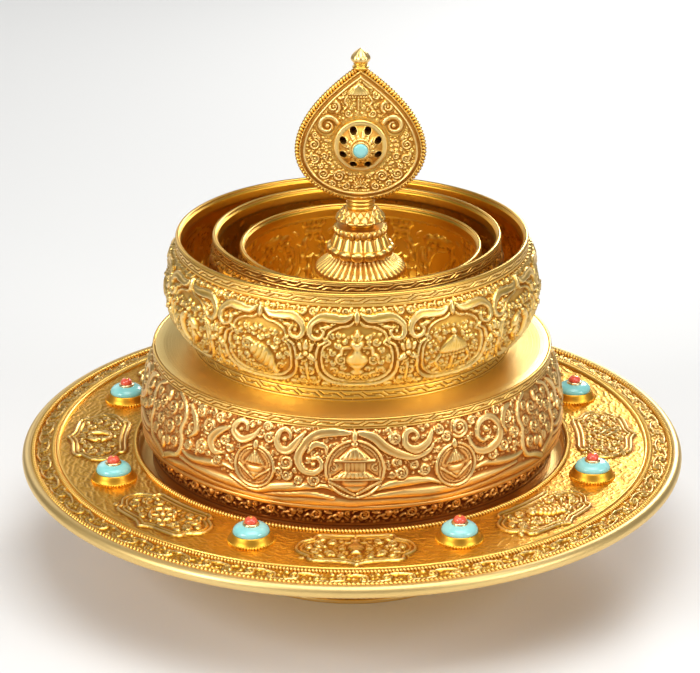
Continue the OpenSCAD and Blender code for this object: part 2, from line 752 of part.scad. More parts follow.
// A wheel that rises from its rim to its hub, with round openings between its spokes; the back one is turned
module wheel(side) {
    r = wheel_d / 2;
    r_hub = hub_stone_d / 2 + wall_sheet;
    opening_r = r * 0.71;
    depth = wheel_face - backing_t / 2;
    color(gilt) at_finial() rotate([0, 0, side < 0 ? 0 : 180]) at_wheel(-backing_t / 2) difference() {
        rotate_extrude() polygon([
            [0, 0], [r, 0], [r, depth], [r * 0.84, depth],
            [r_hub, depth + wheel_dome], [0, depth + wheel_dome]]);
        for (i = [0:wheel_spokes - 1])
            rotate([0, 0, 360 * (i + 0.5) / wheel_spokes]) translate([opening_r, 0, -1])
                cylinder(h = depth + wheel_dome + 2, d = wheel_opening_d);
    }
}

module wheel_backing() {
    color(dark_gilt) at_finial() at_wheel(backing_t / 2) cylinder(h = backing_t, r = wheel_d / 2);
}

// The settings of the two hub stones, one on each face
module wheel_bezels() {
    bezel_h = hub_stone_d * 0.2;
    color(gilt) at_finial() for (side = [-1, 1])
        at_wheel(side < 0 ? -hub_face : hub_face + bezel_h) difference() {
            cylinder(h = bezel_h, r = hub_stone_d / 2 + wall_sheet * 0.7);
            translate([0, 0, -1]) cylinder(h = bezel_h + 2, r = hub_stone_d / 2);
        }
}

module wheel_turquoises() {
    dome = hub_stone_d * 0.32;
    color(turquoise) at_finial() for (side = [-1, 1])
        translate([0, side * hub_face, wheel_z]) rotate([side < 0 ? 90 : -90, 0, 0]) rotate_extrude()
            polygon(concat([[0, 0]], [for (i = [0:arc_steps]) let (a = 90 * i / arc_steps)
                [hub_stone_d / 2 * pow(cos(a), 0.6), dome * sin(a)]]));
}

module tip_collar() {
    r = leaf_seat_w / 2;
    color(gilt) at_finial() translate([0, 0, leaf_top_z]) rotate_extrude() polygon([
        [0, 0], [r, 0], [r * 1.1, tip_collar_h * 0.3], [r * 0.86, tip_collar_h * 0.6],
        [r * 0.95, tip_collar_h], [0, tip_collar_h]]);
}

// A pointed bud, full below and drawn to a tip
module tip_bud() {
    r = tip_bud_d / 2;
    full = 0.3;
    color(gilt) at_finial() translate([0, 0, bud_z]) rotate_extrude() polygon(concat(
        [[0, 0], [r * 0.7, 0]],
        [for (i = [1:arc_steps]) let (t = i / arc_steps)
            [r * (0.7 + 0.3 * sin(90 * t)), tip_bud_h * full * t]],
        [for (i = [1:arc_steps]) let (t = i / arc_steps)
            [r * (1 - pow(t, 1.8)), tip_bud_h * (full + (1 - full) * t)]]));
}

module finial_rod() {
    color(gilt) at_finial() translate([0, 0, rod_low_z])
        cylinder(h = rod_top_z - rod_low_z, r = rod_d / 2);
}

module finial_nut() {
    color(gilt) at_finial() translate([0, 0, skirt_z - nut_h]) difference() {
        cylinder(h = nut_h, r = nut_af / sqrt(3), $fn = 6);
        translate([0, 0, -1]) cylinder(h = nut_h + 2, r = rod_bore_r);
    }
}

tray_dish();
tray_rim_roll();
tray_outer_bead_wire();
tray_middle_bead_wire();
tray_ridge_wire();
tray_inner_bead_wire();
tray_foot();
tray_foot_ring();
tray_rope_wire();
stone_collets();
turquoise_beads();
coral_collars();
coral_beads();
stone_pins();
base_wall();
base_plate();
base_fret_band();
base_bead_wire();
base_fringe();
base_stiffener();
large_ring_wall();
ring_rim_band(large_ring_d, large_ring_h);  // large_ring_rim_band
ring_foot_band(large_ring_d, large_ring_step);  // large_ring_foot_band
ring_rim_wire(large_ring_d, large_ring_h);  // large_ring_rim_wire
at_medium() ring_wall(medium_ring_d, medium_ring_h, medium_ring_step, medium_ring_bulge, curve_steps);  // medium_ring_wall
at_medium() ring_rim_band(medium_ring_d, medium_ring_h);  // medium_ring_rim_band
at_medium() ring_foot_band(medium_ring_d, medium_ring_step);  // medium_ring_foot_band
at_medium() ring_rim_wire(medium_ring_d, medium_ring_h);  // medium_ring_rim_wire
at_small() ring_wall(small_ring_d, small_ring_h, small_ring_step, small_ring_bulge, curve_steps);  // small_ring_wall
at_small() ring_rim_band(small_ring_d, small_ring_h);  // small_ring_rim_band
at_small() ring_foot_band(small_ring_d, small_ring_step);  // small_ring_foot_band
at_small() ring_rim_wire(small_ring_d, small_ring_h);  // small_ring_rim_wire
finial_spigot();
finial_skirt();
finial_lotus();
finial_collar();
finial_knop();
finial_neck();
leaf_plate(-1);  // leaf_front
leaf_plate(1);  // leaf_back
leaf_strip();
leaf_bead_wire();
wheel(-1);  // wheel_front
wheel(1);  // wheel_back
wheel_backing();
wheel_bezels();
wheel_turquoises();
tip_collar();
tip_bud();
finial_rod();
finial_nut();
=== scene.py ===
import math

import bpy
import numpy as np
from mathutils import Matrix, Vector


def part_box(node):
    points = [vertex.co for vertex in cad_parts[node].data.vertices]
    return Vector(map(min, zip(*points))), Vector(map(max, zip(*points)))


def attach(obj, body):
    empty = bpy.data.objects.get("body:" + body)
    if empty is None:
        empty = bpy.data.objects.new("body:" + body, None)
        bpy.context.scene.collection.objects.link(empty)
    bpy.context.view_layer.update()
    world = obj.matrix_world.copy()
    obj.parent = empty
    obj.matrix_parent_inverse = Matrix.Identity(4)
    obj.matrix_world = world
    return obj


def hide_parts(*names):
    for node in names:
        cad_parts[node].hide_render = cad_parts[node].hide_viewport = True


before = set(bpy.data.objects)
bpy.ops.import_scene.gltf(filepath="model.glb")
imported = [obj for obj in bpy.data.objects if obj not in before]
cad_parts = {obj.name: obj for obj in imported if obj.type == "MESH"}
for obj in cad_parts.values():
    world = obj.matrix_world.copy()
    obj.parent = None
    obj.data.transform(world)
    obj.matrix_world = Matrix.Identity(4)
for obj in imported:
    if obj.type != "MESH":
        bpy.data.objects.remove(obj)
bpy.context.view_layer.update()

bl_info = {
    "name": "Mandala offering plate",
    "version": (1, 0, 0),
    "blender": (4, 5, 0),
    "location": "3D View > Sidebar > Offering plate",
    "description": "Builds a chased and gilt mandala offering plate round its packed solids",
    "category": "Object",
}

MM = 0.001
FRONT = -90.0
SMALL = 1e-6
VOLUTE_EYE = 0.3  # share of a scroll's radius at which it ends
TILE_HEIGHT = 45.0  # millimetres up a ring's wall, as its work is drawn
CAMERA_AT = (0.0, -1.1714, 0.5844)
CAMERA_DOWN = 22.063  # degrees
LENS, SENSOR, CAMERA_SHIFT = 135.3, 36.0, -0.0028


def top_of(node):
    """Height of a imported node's top, in metres."""
    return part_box(node)[1].z


def reach_of(node):
    """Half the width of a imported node, in metres."""
    low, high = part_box(node)
    return (high.x - low.x) / 2


def middle_of(node):
    """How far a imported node's middle stands to the right of the plate's axis, in metres."""
    low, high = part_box(node)
    return (high.x + low.x) / 2


def length(name, description, default):
    """A length that the panel shows."""
    return bpy.props.FloatProperty(name=name, description=description, default=default, min=0.0,
                                   unit="LENGTH")


def count(name, description, default):
    """A number of like things that the panel shows."""
    return bpy.props.IntProperty(name=name, description=description, default=default, min=3)


def angle(name, description, default):
    """A turn that the panel shows, given here in degrees."""
    return bpy.props.FloatProperty(name=name, description=description, default=math.radians(default),
                                   subtype="ANGLE")


def colour(name, description, default):
    """A colour that the panel shows."""
    return bpy.props.FloatVectorProperty(
            name=name, description=description, default=default, size=3, min=0.0, max=1.0, subtype="COLOR")


def share(name, description, default):
    """A number from 0 to 1 that the panel shows."""
    return bpy.props.FloatProperty(name=name, description=description, default=default, min=0.0, max=1.0,
                                   subtype="FACTOR")


class TraySizes(bpy.types.PropertyGroup):
    """Sizes of the footed tray and its stones."""
    deck_z: length("Deck height", "Height of the chased deck above the table", 0.057)
    floor_z: length("Well floor height", "Height of the well that the base stands in", 0.050)
    sheet: length("Sheet", "Thickness of the tray's metal", 0.0016)
    well_r: length("Well radius", "Radius of the well that the base stands in", 0.1032)
    inner_wire_r: length("Inner wire radius", "Radius of the bead wire beside the well", 0.1051)
    ridge_wire_r: length("Ridge wire radius", "Radius of the plain wire outside the deck", 0.14268)
    middle_wire_r: length("Middle wire radius", "Radius of the bead wire outside the deck", 0.14468)
    border_r: length("Border radius", "Radius at which the vine border starts to fall", 0.14578)
    dish_r: length("Dish radius", "Radius of the dish inside its rolled rim", 0.15538)
    outer_wire_r: length("Outer wire radius", "Radius of the bead wire inside the rolled rim", 0.15428)
    roll_d: length("Roll thickness", "Thickness of the rolled rim", 0.006)
    rim_r: length("Rim radius", "Radius of the rolled rim's outside", reach_of("tray_rim_roll"))
    foot_r: length("Foot radius", "Radius of the foot on the table", reach_of("tray_foot_ring"))
    stone_r: length("Stone circle", "Radius of the circle that the stones stand on", 0.12199)
    turn: angle("Turn", "How far the deck's pattern stands to the right of the front", 0.8)
    stones: count("Stones", "Mounted stones round the deck", 8)
    cartouches: count("Cartouches", "Lobed cartouches round the deck", 8)
    vine_waves: count("Vine waves", "Waves of the vine round the border", 46)
    inner_beads: count("Inner teeth", "Teeth of the inner wire", 410)
    middle_beads: count("Middle teeth", "Teeth of the middle wire", 566)
    outer_beads: count("Outer teeth", "Teeth of the outer wire", 481)


class BaseSizes(bpy.types.PropertyGroup):
    """Sizes of the drum base."""
    belly_r: length("Foot of the belly", "Radius of the wall above the bead wire", 0.1012)
    plate_r: length("Plate radius", "Radius of the polished plate", 0.0946)
    plate_z: length("Plate height", "Height of the polished plate above the table", top_of("base_plate"))
    fringe_r: length("Fringe radius", "Radius of the fringe band", reach_of("base_fringe"))
    fringe_top_z: length("Fringe height", "Height of the fringe band's top above the table",
                         top_of("base_fringe"))
    wall_low_z: length("Wall foot", "Height of the wall's foot above the table", 0.0678)
    wall_top_z: length("Wall top", "Height of the fret band's lower edge above the table", 0.1037)
    repeats: count("Repeats", "Times that the wall's picture repeats", 3)
    fringe_scrolls: count("Fringe scrolls", "Scrolls round the fringe", 28)
    fret_units: count("Fret units", "Units of the running fret under the plate", 56)
    beads: count("Beads", "Beads of the wire over the fringe", 420)


class RingSizes(bpy.types.PropertyGroup):
    """Sizes that the three offering rings share."""
    large_step: length("Large step", "How far the large ring's foot is smaller than its rim", 0.0074)
    medium_step: length("Medium step", "How far the medium ring's foot is smaller than its rim", 0.0026)
    small_step: length("Small step", "How far the small ring's foot is smaller than its rim", 0.0026)
    fullness: share("Fullness", "Lower values set a ring's widest line lower", 0.75)
    foot_band_h: length("Foot band", "Height of the fret band at a ring's foot", 0.008)
    rim_band_h: length("Rim band", "Height of the fret band under a ring's rim", 0.005)
    rim_wire_h: length("Rim wire", "Thickness of the wire on a ring's rim", 0.001)
    band_t: length("Band", "How far a band stands out from the wall", 0.001)
    large_bulge: length("Large bulge", "How far the large ring's belly swells", 0.0092)
    medium_bulge: length("Medium bulge", "How far the medium ring's belly swells", 0.0030)
    small_bulge: length("Small bulge", "How far the small ring's belly swells", 0.0030)
    large_bays: count("Large bays", "Cartouches round the large ring", 12)
    medium_bays: count("Medium bays", "Cartouches round the medium ring", 10)
    small_bays: count("Small bays", "Cartouches round the small ring", 8)
    turn: angle("Turn", "How far the middle cartouche stands to the right of the front", 1.5)


class FinialSizes(bpy.types.PropertyGroup):
    """Sizes of the leaf finial."""
    spigot_r: length("Spigot radius", "Radius of the plain spigot", reach_of("finial_spigot"))
    skirt_r: length("Skirt radius", "Radius of the petal skirt", reach_of("finial_skirt"))
    lotus_r: length("Lotus radius", "Radius of the lotus bell", reach_of("finial_lotus"))
    knop_r: length("Knop radius", "Radius of the pointed knop", reach_of("finial_knop"))
    neck_r: length("Neck radius", "Radius of the grooved neck", reach_of("finial_neck"))
    leaf_half: length("Leaf half width", "Half the width of the leaf", 0.0309)
    leaf_low: length("Leaf below", "Height of the leaf below its widest line", 0.025)
    leaf_up: length("Leaf above", "Height of the leaf above its widest line", 0.042)
    leaf_mid_z: length("Leaf middle", "Height of the leaf's widest line above the table", 0.2038)
    face_y: length("Leaf face", "Distance of the leaf's face from its middle plane", 0.0042)
    wheel_z: length("Wheel height", "Height of the wheel's centre above the table", 0.2070)
    wheel_r: length("Wheel radius", "Radius of the wheel", 0.0127)
    wheel_y: length("Wheel face", "Distance of the wheel's face from the middle plane", 0.005)
    wheel_dome: length("Wheel dome", "How far the wheel rises from its rim to its hub", 0.006)
    hub_r: length("Hub stone radius", "Radius of the turquoise in the hub", 0.0034)
    spokes: count("Openings", "Openings round the wheel", 8)
    leaf_teeth: count("Leaf teeth", "Teeth of the wire round the leaf", 112)


class Finishes(bpy.types.PropertyGroup):
    """Colours of the metals and stones."""
    gilt: colour("Gilt", "Fire-gilt brass where it is worked", (0.93, 0.575, 0.12))
    gilt_orange: colour("Deep gilt", "The deeper gilt of the deck and the cups", (0.80, 0.425, 0.042))
    gilt_pale: colour("Rubbed gilt", "Gilt on the rubbed crests of the work", (1.0, 0.72, 0.29))
    # Hollow colours (gilt, rose, leaf, deck): the work's hollows are darkened, partly for the tone that
    # collects there and partly as painted shade.
    gilt_patina_and_shade: colour("Hollow gilt", "Gilt in the hollows, under the tone that collects there",
                      (0.46, 0.185, 0.022))
    rose: colour("Rose gilt", "The redder gilt of the base's wall", (0.90, 0.47, 0.13))
    rose_patina_and_shade: colour("Rose hollow", "The base's wall in its hollows", (0.43, 0.145, 0.028))
    # Fringe colours, crests and ground: darker than the wall, partly a deeper patina and partly painted shade
    # under the belly
    fringe_crest: colour("Fringe crests", "The red-brown crests of the fringe", (0.60, 0.24, 0.05))
    leaf: colour("Leaf gilt", "The lighter gilt of the finial", (0.95, 0.62, 0.15))
    leaf_patina_and_shade: colour("Leaf hollow", "The finial in its hollows", (0.58, 0.27, 0.045))
    deck_patina_and_shade: colour("Deck hollow", "The deck in its hollows", (0.33, 0.105, 0.010))
    lining: colour("Lining gilt", "The gilt inside the rings", (0.94, 0.52, 0.055))
    polish: colour("Polished gilt", "The brushed plate of the base", (0.90, 0.68, 0.25))
    fringe: colour("Fringe ground", "The red-brown ground of the fringe", (0.15, 0.035, 0.008))
    # painted shade: the backing is near black so that the wheel's openings look deep and shadowed
    backing: colour("Backing", "The dark disc behind the wheel", (0.05, 0.02, 0.006))
    turquoise: colour("Turquoise", "Body of the turquoise beads", (0.21, 0.61, 0.60))
    turquoise_pale: colour("Pale turquoise", "Clouds in the turquoise", (0.40, 0.77, 0.74))
    matrix: colour("Matrix", "Faint brown matrix in the turquoise", (0.17, 0.16, 0.10))
    coral: colour("Coral", "Body of the coral beads", (0.78, 0.085, 0.045))
    coral_pale: colour("Pale coral", "Clouds in the coral", (0.86, 0.20, 0.11))
    silver: colour("Silver gilt", "Collars under the coral", (0.90, 0.68, 0.38))
    floor: colour("Floor", "The pale floor", (0.80, 0.80, 0.79))
    gloss: share("Gloss", "Roughness of the rubbed gilt", 0.36)
    dull: share("Dull", "Roughness of the gilt in the hollows", 0.58)


class ChasedSheet:
    """Heights chased into sheet metal, in millimetres. x runs along the sheet and wraps round; y runs up."""

    def __init__(self, length, height, pitch):
        self.cols = round(length / pitch)
        self.rows = round(height / pitch) + 1
        self.length = length
        self.height = height
        self.dx = length / self.cols
        self.dy = height / (self.rows - 1)
        self.relief = np.zeros((self.rows, self.cols))

    def window(self, low, high):
        """The part of the raster between two corners: its index and the x and y of its points."""
        x0, x1 = int(math.floor(low[0] / self.dx)), int(math.ceil(high[0] / self.dx)) + 1
        y0, y1 = max(0, int(low[1] / self.dy)), min(self.rows, int(math.ceil(high[1] / self.dy)) + 1)
        cols = np.arange(x0, max(x1, x0 + 1))
        rows = np.arange(y0, max(y1, y0 + 1)) if y1 > y0 else np.arange(0)
        x, y = np.meshgrid(cols * self.dx, rows * self.dy)
        return np.ix_(rows, cols % self.cols), x, y

    def distances(self, path, reach, square=False):
        """Distance of nearby points to a path, and how far along the path, from 0 to 1, the nearest place is.

        A square path ends straight across at both ends, where others end in a round.
        """
        path = np.asarray(path, float)
        index, x, y = self.window(path.min(axis=0) - reach, path.max(axis=0) + reach)
        steps = np.hypot(*np.diff(path, axis=0).T)
        along = np.concatenate([[0], np.cumsum(steps)])
        best = np.full(x.shape, 1e9)
        place = np.zeros(x.shape)
        for (ax, ay), (bx, by), start, size in zip(path[:-1], path[1:], along, steps):
            if size < 1e-9:
                continue
            t = ((x - ax) * (bx - ax) + (y - ay) * (by - ay)) / size ** 2
            if square:
                beyond = np.maximum((start == 0) * -t, (start + size >= along[-1] - 1e-9) * (t - 1)) * size
            t = np.clip(t, 0, 1)
            gap = np.hypot(x - ax - t * (bx - ax), y - ay - t * (by - ay))
            if square:
                gap = np.where(beyond > 0, 1e6 * beyond, gap)
            nearer = gap < best
            best = np.where(nearer, gap, best)
            place = np.where(nearer, (start + t * size) / along[-1], place)
        return index, best, place

    def lay(self, index, shape, height, clear, cover):
        """Lays a worked shape, from 0 to 1, over what is there, first pushing that down around it."""
        below = self.relief[index] * (1 - clear * cover)
        self.relief[index] = np.maximum(below, height * shape)

    def stroke(self, path, width, height, form="round", clear=0.8, margin=0.45, square=False):
        """Raises a round, flat or ribbon line along a path. width is one number or several along it."""
        widths = np.atleast_1d(np.asarray(width, float)) / 2
        index, gap, place = self.distances(path, widths.max() + margin, square)
        half = np.maximum(np.interp(place, np.linspace(0, 1, len(widths)), widths), 0.05)
        across = np.clip(gap / half, 0, 1)
        inside = half - gap
        if form == "round":
            shape = np.sqrt(1 - across ** 2)
        elif form == "flat":
            shape = np.clip(inside / 0.45, 0, 1) ** 0.6
        else:
            shape = np.clip(inside / 0.4, 0, 1) ** 0.6 * (0.72 + 0.28 * across ** 2)
        self.lay(index, np.where(inside > 0, shape, 0), height, clear, np.clip(inside / margin + 1, 0, 1))

    def groove(self, path, width, depth):
        """Cuts a line along a path."""
        index, gap, _ = self.distances(path, width / 2)
        self.relief[index] -= depth * np.clip(1 - gap / (width / 2), 0, 1) ** 0.7

    def bead(self, x, y, radius, height, clear=0.8):
        """Raises a round bead."""
        self.stroke([(x - 1e-4, y), (x + 1e-4, y)], 2 * radius, height, "round", clear)

    def ring(self, x, y, radius, width, height, form="round"):
        """Raises a round line about a centre."""
        self.stroke(round_path(x, y, radius), width, height, form)

    def volute(self, x, y, radius, start, turns, width, height, lead=None):
        """Raises a scroll that winds in to a bead. start is in degrees; turns are negative clockwise."""
        path = spiral(x, y, radius, start, turns)
        if lead is not None:
            path = np.concatenate([lead, path])
        self.stroke(path, [width, width, width * 0.55], height)
        self.bead(x, y, max(0.26 * radius, 0.5), height * 1.05)

    def petal(self, x, y, length, angle, width, height):
        """Raises a pointed leaf from its base, at an angle in degrees from straight up, with a cut vein."""
        tip = (x + length * math.sin(math.radians(angle)), y + length * math.cos(math.radians(angle)))
        path = [(x, y), ((x + tip[0]) / 2, (y + tip[1]) / 2), tip]
        self.stroke(path, [0.35 * width, 0.9 * width, width, 0.7 * width, 0.1 * width], height)
        self.groove([(x, y), (x + 0.7 * (tip[0] - x), y + 0.7 * (tip[1] - y))], 0.5, height * 0.3)

    def field(self, outline, height, bevel=0.6):
        """Raises, or with no height flattens, all that lies inside a closed outline."""
        outline = np.asarray(outline, float)
        closed = np.concatenate([outline, outline[:1]])
        index, gap, _ = self.distances(closed, 0.5)
        x, y = self.window(outline.min(axis=0) - 0.5, outline.max(axis=0) + 0.5)[1:]
        inside = np.zeros(x.shape, bool)
        for (ax, ay), (bx, by) in zip(closed[:-1], closed[1:]):
            if ay == by:
                continue
            crosses = ((ay > y) != (by > y)) & (x < (bx - ax) * (y - ay) / (by - ay) + ax)
            inside ^= crosses
        edge = np.where(inside, np.clip(gap / bevel, 0, 1), 0)
        self.lay(index, edge ** 0.6, height, 1.0, inside.astype(float))

    def granules(self, low, high, spacing, radius, height, floor, seed):
        """Fills bare ground between two corners with beads of about one size, set by a seeded shuffle."""
        shuffle = np.random.default_rng(seed)
        for y in np.arange(low[1], high[1], spacing * 0.87):
            for x in np.arange(low[0], high[0], spacing):
                px, py = x + shuffle.uniform(-0.3, 0.3) * spacing, y + shuffle.uniform(-0.3, 0.3) * spacing
                size = radius * shuffle.uniform(0.75, 1.2)
                index = self.window((px - size, py - size), (px + size, py + size))[0]
                if self.relief[index].size and self.relief[index].max() < floor:
                    self.bead(px, py, size, height * shuffle.uniform(0.7, 1.1), clear=0)

    def curls(self, low, high, spacing, radius, height, floor, seed):
        """Fills bare ground between two corners with small curls, set by a seeded shuffle."""
        shuffle = np.random.default_rng(seed)
        for y in np.arange(low[1], high[1], spacing * 0.87):
            for x in np.arange(low[0], high[0], spacing):
                px = x + shuffle.uniform(-0.35, 0.35) * spacing
                py = y + shuffle.uniform(-0.35, 0.35) * spacing
                size = radius * shuffle.uniform(0.75, 1.2)
                start, way = shuffle.uniform(0, 360), shuffle.choice((-1, 1))
                index = self.window((px - size, py - size), (px + size, py + size))[0]
                if self.relief[index].size and (self.relief[index] > floor).mean() < 0.12:
                    self.volute(px, py, size, start, way * 1.1, 0.62 * size,
                                height * shuffle.uniform(0.8, 1.1))

    def copies(self, count):
        """The same work repeated round a longer sheet."""
        whole = ChasedSheet(self.length * count, self.height, self.dx)
        whole.relief = np.tile(self.relief, (1, count))
        whole.rows, whole.cols = whole.relief.shape
        whole.dx, whole.dy = self.dx, self.dy
        return whole

    def rescale(self, factor):
        """Makes the whole sheet larger or smaller; heights stay."""
        self.length, self.height = self.length * factor, self.height * factor
        self.dx, self.dy = self.dx * factor, self.dy * factor

    def soften(self, relief, radius):
        """A relief blurred over a radius in millimetres, wrapping along the sheet."""
        for axis, step in ((0, self.dy), (1, self.dx)):
            reach = max(1, round(2.5 * radius / step))
            offsets = np.arange(-reach, reach + 1)
            weights = np.exp(-0.5 * (offsets * step / radius) ** 2)
            weights /= weights.sum()
            mode = "edge" if axis == 0 else "wrap"
            padding = [(reach, reach) if axis == a else (0, 0) for a in (0, 1)]
            padded = np.pad(relief, padding, mode=mode)
            size = relief.shape[axis]
            relief = sum(w * np.take(padded, np.arange(k, k + size), axis=axis)
                         for k, w in enumerate(weights))
        return relief

    def sample(self, raster, x, y):
        """Values of a raster at points of the sheet."""
        fx, fy = np.mod(x / self.dx, self.cols), np.clip(y / self.dy, 0, self.rows - 1.001)
        ix, iy = fx.astype(int) % self.cols, fy.astype(int)
        tx, ty = fx - np.floor(fx), fy - iy
        nx = (ix + 1) % self.cols
        low = raster[iy, ix] * (1 - tx) + raster[iy, nx] * tx
        high = raster[iy + 1, ix] * (1 - tx) + raster[iy + 1, nx] * tx
        return low * (1 - ty) + high * ty


def round_path(x, y, radius, count=40):
    """Points of a circle, with the first one again at the end."""
    angles = np.radians(np.linspace(0, 360, count))
    return np.stack([x + radius * np.cos(angles), y + radius * np.sin(angles)], axis=1)


def spiral(x, y, radius, start, turns):
    """Points of a spiral from its outside to its eye."""
    t = np.linspace(0, 1, 44)
    angles = np.radians(start) + 2 * math.pi * turns * t
    radii = radius * (1 - (1 - VOLUTE_EYE) * t ** 0.85)
    return np.stack([x + radii * np.cos(angles), y + radii * np.sin(angles)], axis=1)


def curve(*points, count=12):
    """A smooth path through points, by Catmull-Rom pieces."""
    p = np.asarray(points, float)
    p = np.concatenate([[2 * p[0] - p[1]], p, [2 * p[-1] - p[-2]]])
    t = np.linspace(0, 1, count, endpoint=False)[:, None]
    pieces = [0.5 * (2 * b + (c - a) * t + (2 * a - 5 * b + 4 * c - d) * t ** 2
                     + (3 * b - a - 3 * c + d) * t ** 3)
              for a, b, c, d in zip(p[:-3], p[1:-2], p[2:-1], p[3:])]
    return np.concatenate(pieces + [p[-2:-1]])


def mirrored(path, x):
    """A path turned over about an upright line."""
    return np.asarray(path) * (-1, 1) + (2 * x, 0)


class Pen:
    """Draws a motif on a sheet about a point, at a scale. Heights and the widths of grooves stay as given."""

    def __init__(self, sheet, x, y, scale):
        self.sheet = sheet
        self.spot = (x, y)
        self.scale = scale

    def at(self, *points):
        """Places of a motif's points on the sheet."""
        return np.asarray(points, float) * self.scale + self.spot

    def stroke(self, path, width, height, *form, **options):
        self.sheet.stroke(self.at(*path), np.asarray(width) * self.scale, height, *form, **options)

    def groove(self, path, width, depth):
        self.sheet.groove(self.at(*path), width, depth)

    def bead(self, x, y, radius, height, **options):
        self.sheet.bead(*self.at((x, y))[0], radius * self.scale, height, **options)

    def ring(self, x, y, radius, width, height, *form):
        self.sheet.ring(*self.at((x, y))[0], radius * self.scale, width * self.scale, height, *form)

    def petal(self, x, y, length, angle, width, height):
        self.sheet.petal(*self.at((x, y))[0], length * self.scale, angle, width * self.scale, height)

    def volute(self, x, y, radius, start, turns, width, height, lead=None):
        spot = self.at((x, y))[0]
        self.sheet.volute(*spot, radius * self.scale, start, turns, width * self.scale, height, lead)


def cartouche_outline(x, y, wide, tall):
    """An ogee-headed cartouche: a pointed head on shoulders over a wide round body."""
    side = curve((0, 1.0), (0.06, 0.95), (0.22, 0.885), (0.50, 0.86), (0.76, 0.79), (0.84, 0.70),
                 (0.76, 0.635), (0.94, 0.57), (1.0, 0.40), (0.94, 0.20), (0.66, 0.055), (0.32, 0.005), (0, 0),
                 count=7)
    right = side * (wide / 2, tall) + (x, y)
    return np.concatenate([right, mirrored(right, x)[::-1][1:-1]])


def ring_tile(width, height):
    """One bay of a ring's wall: a double frame, ribbons from its point, clasps and a row of curls above."""
    tile = ChasedSheet(width, height, 0.2)
    mid = width / 2
    # standing leaves under the frames and scrolls between them
    for k in range(12):
        x = width * (k + 0.5) / 12
        tile.petal(x, 0.6, 5.0, 0, 3.0, 1.3)
        tile.petal(x + width / 24, 3.0, 4.6, 0, 2.4, 1.2)
    for dx, y, r, s, t in ((19.6, 9.4, 2.6, 200, 1.4), (20.6, 15.4, 2.4, 20, -1.4),
                           (14.6, 5.2, 2.2, 150, -1.3), (20.8, 33.6, 1.9, 250, 1.4),
                           (18.8, 29.4, 1.7, 90, -1.3), (3.4, 38.8, 1.7, 120, 1.3)):
        for way in (1, -1):
            tile.volute(mid + way * dx, y, r, s if way > 0 else 180 - s, t * way, 0.30 * r + 0.5, 1.5)
    tile.curls((0, 6.0), (width, height - 6), 2.8, 1.4, 1.2, 0.25, 5)
    tile.granules((0, 0.8), (width, height - 5), 1.35, 0.62, 0.8, 0.2, 3)
    # the row of curls below the rim band
    curls = 9
    for k in range(curls):
        x = width * (k + 0.5) / curls
        way = 1 if x > mid else -1
        tile.volute(x, height - 2.5, 2.0, 90 + way * 60, way * 1.35, 1.0, 1.5)
        tile.bead(x + width / curls / 2, height - 0.9, 0.6, 1.0)
    # the frame is cleared, then drawn as two ridges
    outline = cartouche_outline(mid, 6.8, 35.0, 36.0)
    tile.field(outline, 0.0)
    tile.stroke(np.concatenate([outline, outline[:1]]), 1.25, 1.8)
    inner = cartouche_outline(mid, 9.2, 30.4, 31.0)
    tile.stroke(np.concatenate([inner, inner[:1]]), 1.0, 1.3, clear=0.3)
    # ribbons fall from the point and roll up over the shoulders
    for way in (1, -1):
        lead = curve((1.2, 41.6), (5.6, 39.4), (10.6, 39.8), (15.8, 39.8), (19.8, 36.8), (20.4, 33.4),
                     (18.6, 30.8), (15.6, 31.2), (14.4, 33.6), (15.8, 35.6))
        tile.stroke(lead * (way, 1) + (mid, 0), (1.4, 3.4, 4.2, 4.2, 3.4, 2.8, 2.2, 1.6, 1.1), 2.5, "ribbon")
        tile.bead(mid + way * 17.0, 33.8, 0.8, 2.2)
        tile.petal(mid + way * 11.0, 36.2, 4.4, way * 100, 2.0, 1.7)
    tile.petal(mid, 37.6, 6.0, 0, 3.0, 2.4)
    # a clasp between the frames: a tulip over two leaves
    for turn, long, wide in ((38, 5.4, 3.4), (-38, 5.4, 3.4), (0, 5.8, 3.2), (128, 5.6, 3.2),
                             (-128, 5.6, 3.2)):
        tile.petal(0, 24.4, long, turn, wide, 2.5)
    tile.bead(0, 24.2, 1.4, 2.8)
    tile.stroke([(0, 9.0), (0, 18.6)], (0.9, 1.9, 1.0), 1.6)
    return tile


def clouds(sheet, x, y, spread):
    """A bank of curled clouds for a motif to stand on."""
    for dx, dy, r, s, t in ((0.0, 0.2, 2.0, 90, 1.2), (3.8, 0.0, 2.2, 60, 1.3), (7.4, 1.4, 2.0, 40, 1.2),
                            (10.2, 4.0, 1.7, 20, 1.2)):
        for way in (1, -1):
            sheet.volute(x + way * dx * spread, y + dy, r, s if way > 0 else 180 - s, way * t, 1.0, 1.0)


def lotus(pen):
    """An open lotus in two rows, with three jewels above it."""
    for angles, y, long, wide, high in (((-84, 84, -56, 56, -28, 28, 0), 0, 7.2, 3.6, 1.3),
                                        ((-62, 62, -31, 31, 0), -0.4, 4.8, 3.0, 1.75),
                                        ((-110, 110), -0.5, 6.4, 2.6, 1.2)):
        for angle in angles:
            pen.petal(0, y, long, angle, wide, high)
    for x, y in ((-1.7, 8.6), (1.7, 8.6), (0, 11.0)):
        pen.bead(x, y, 1.3, 1.6)


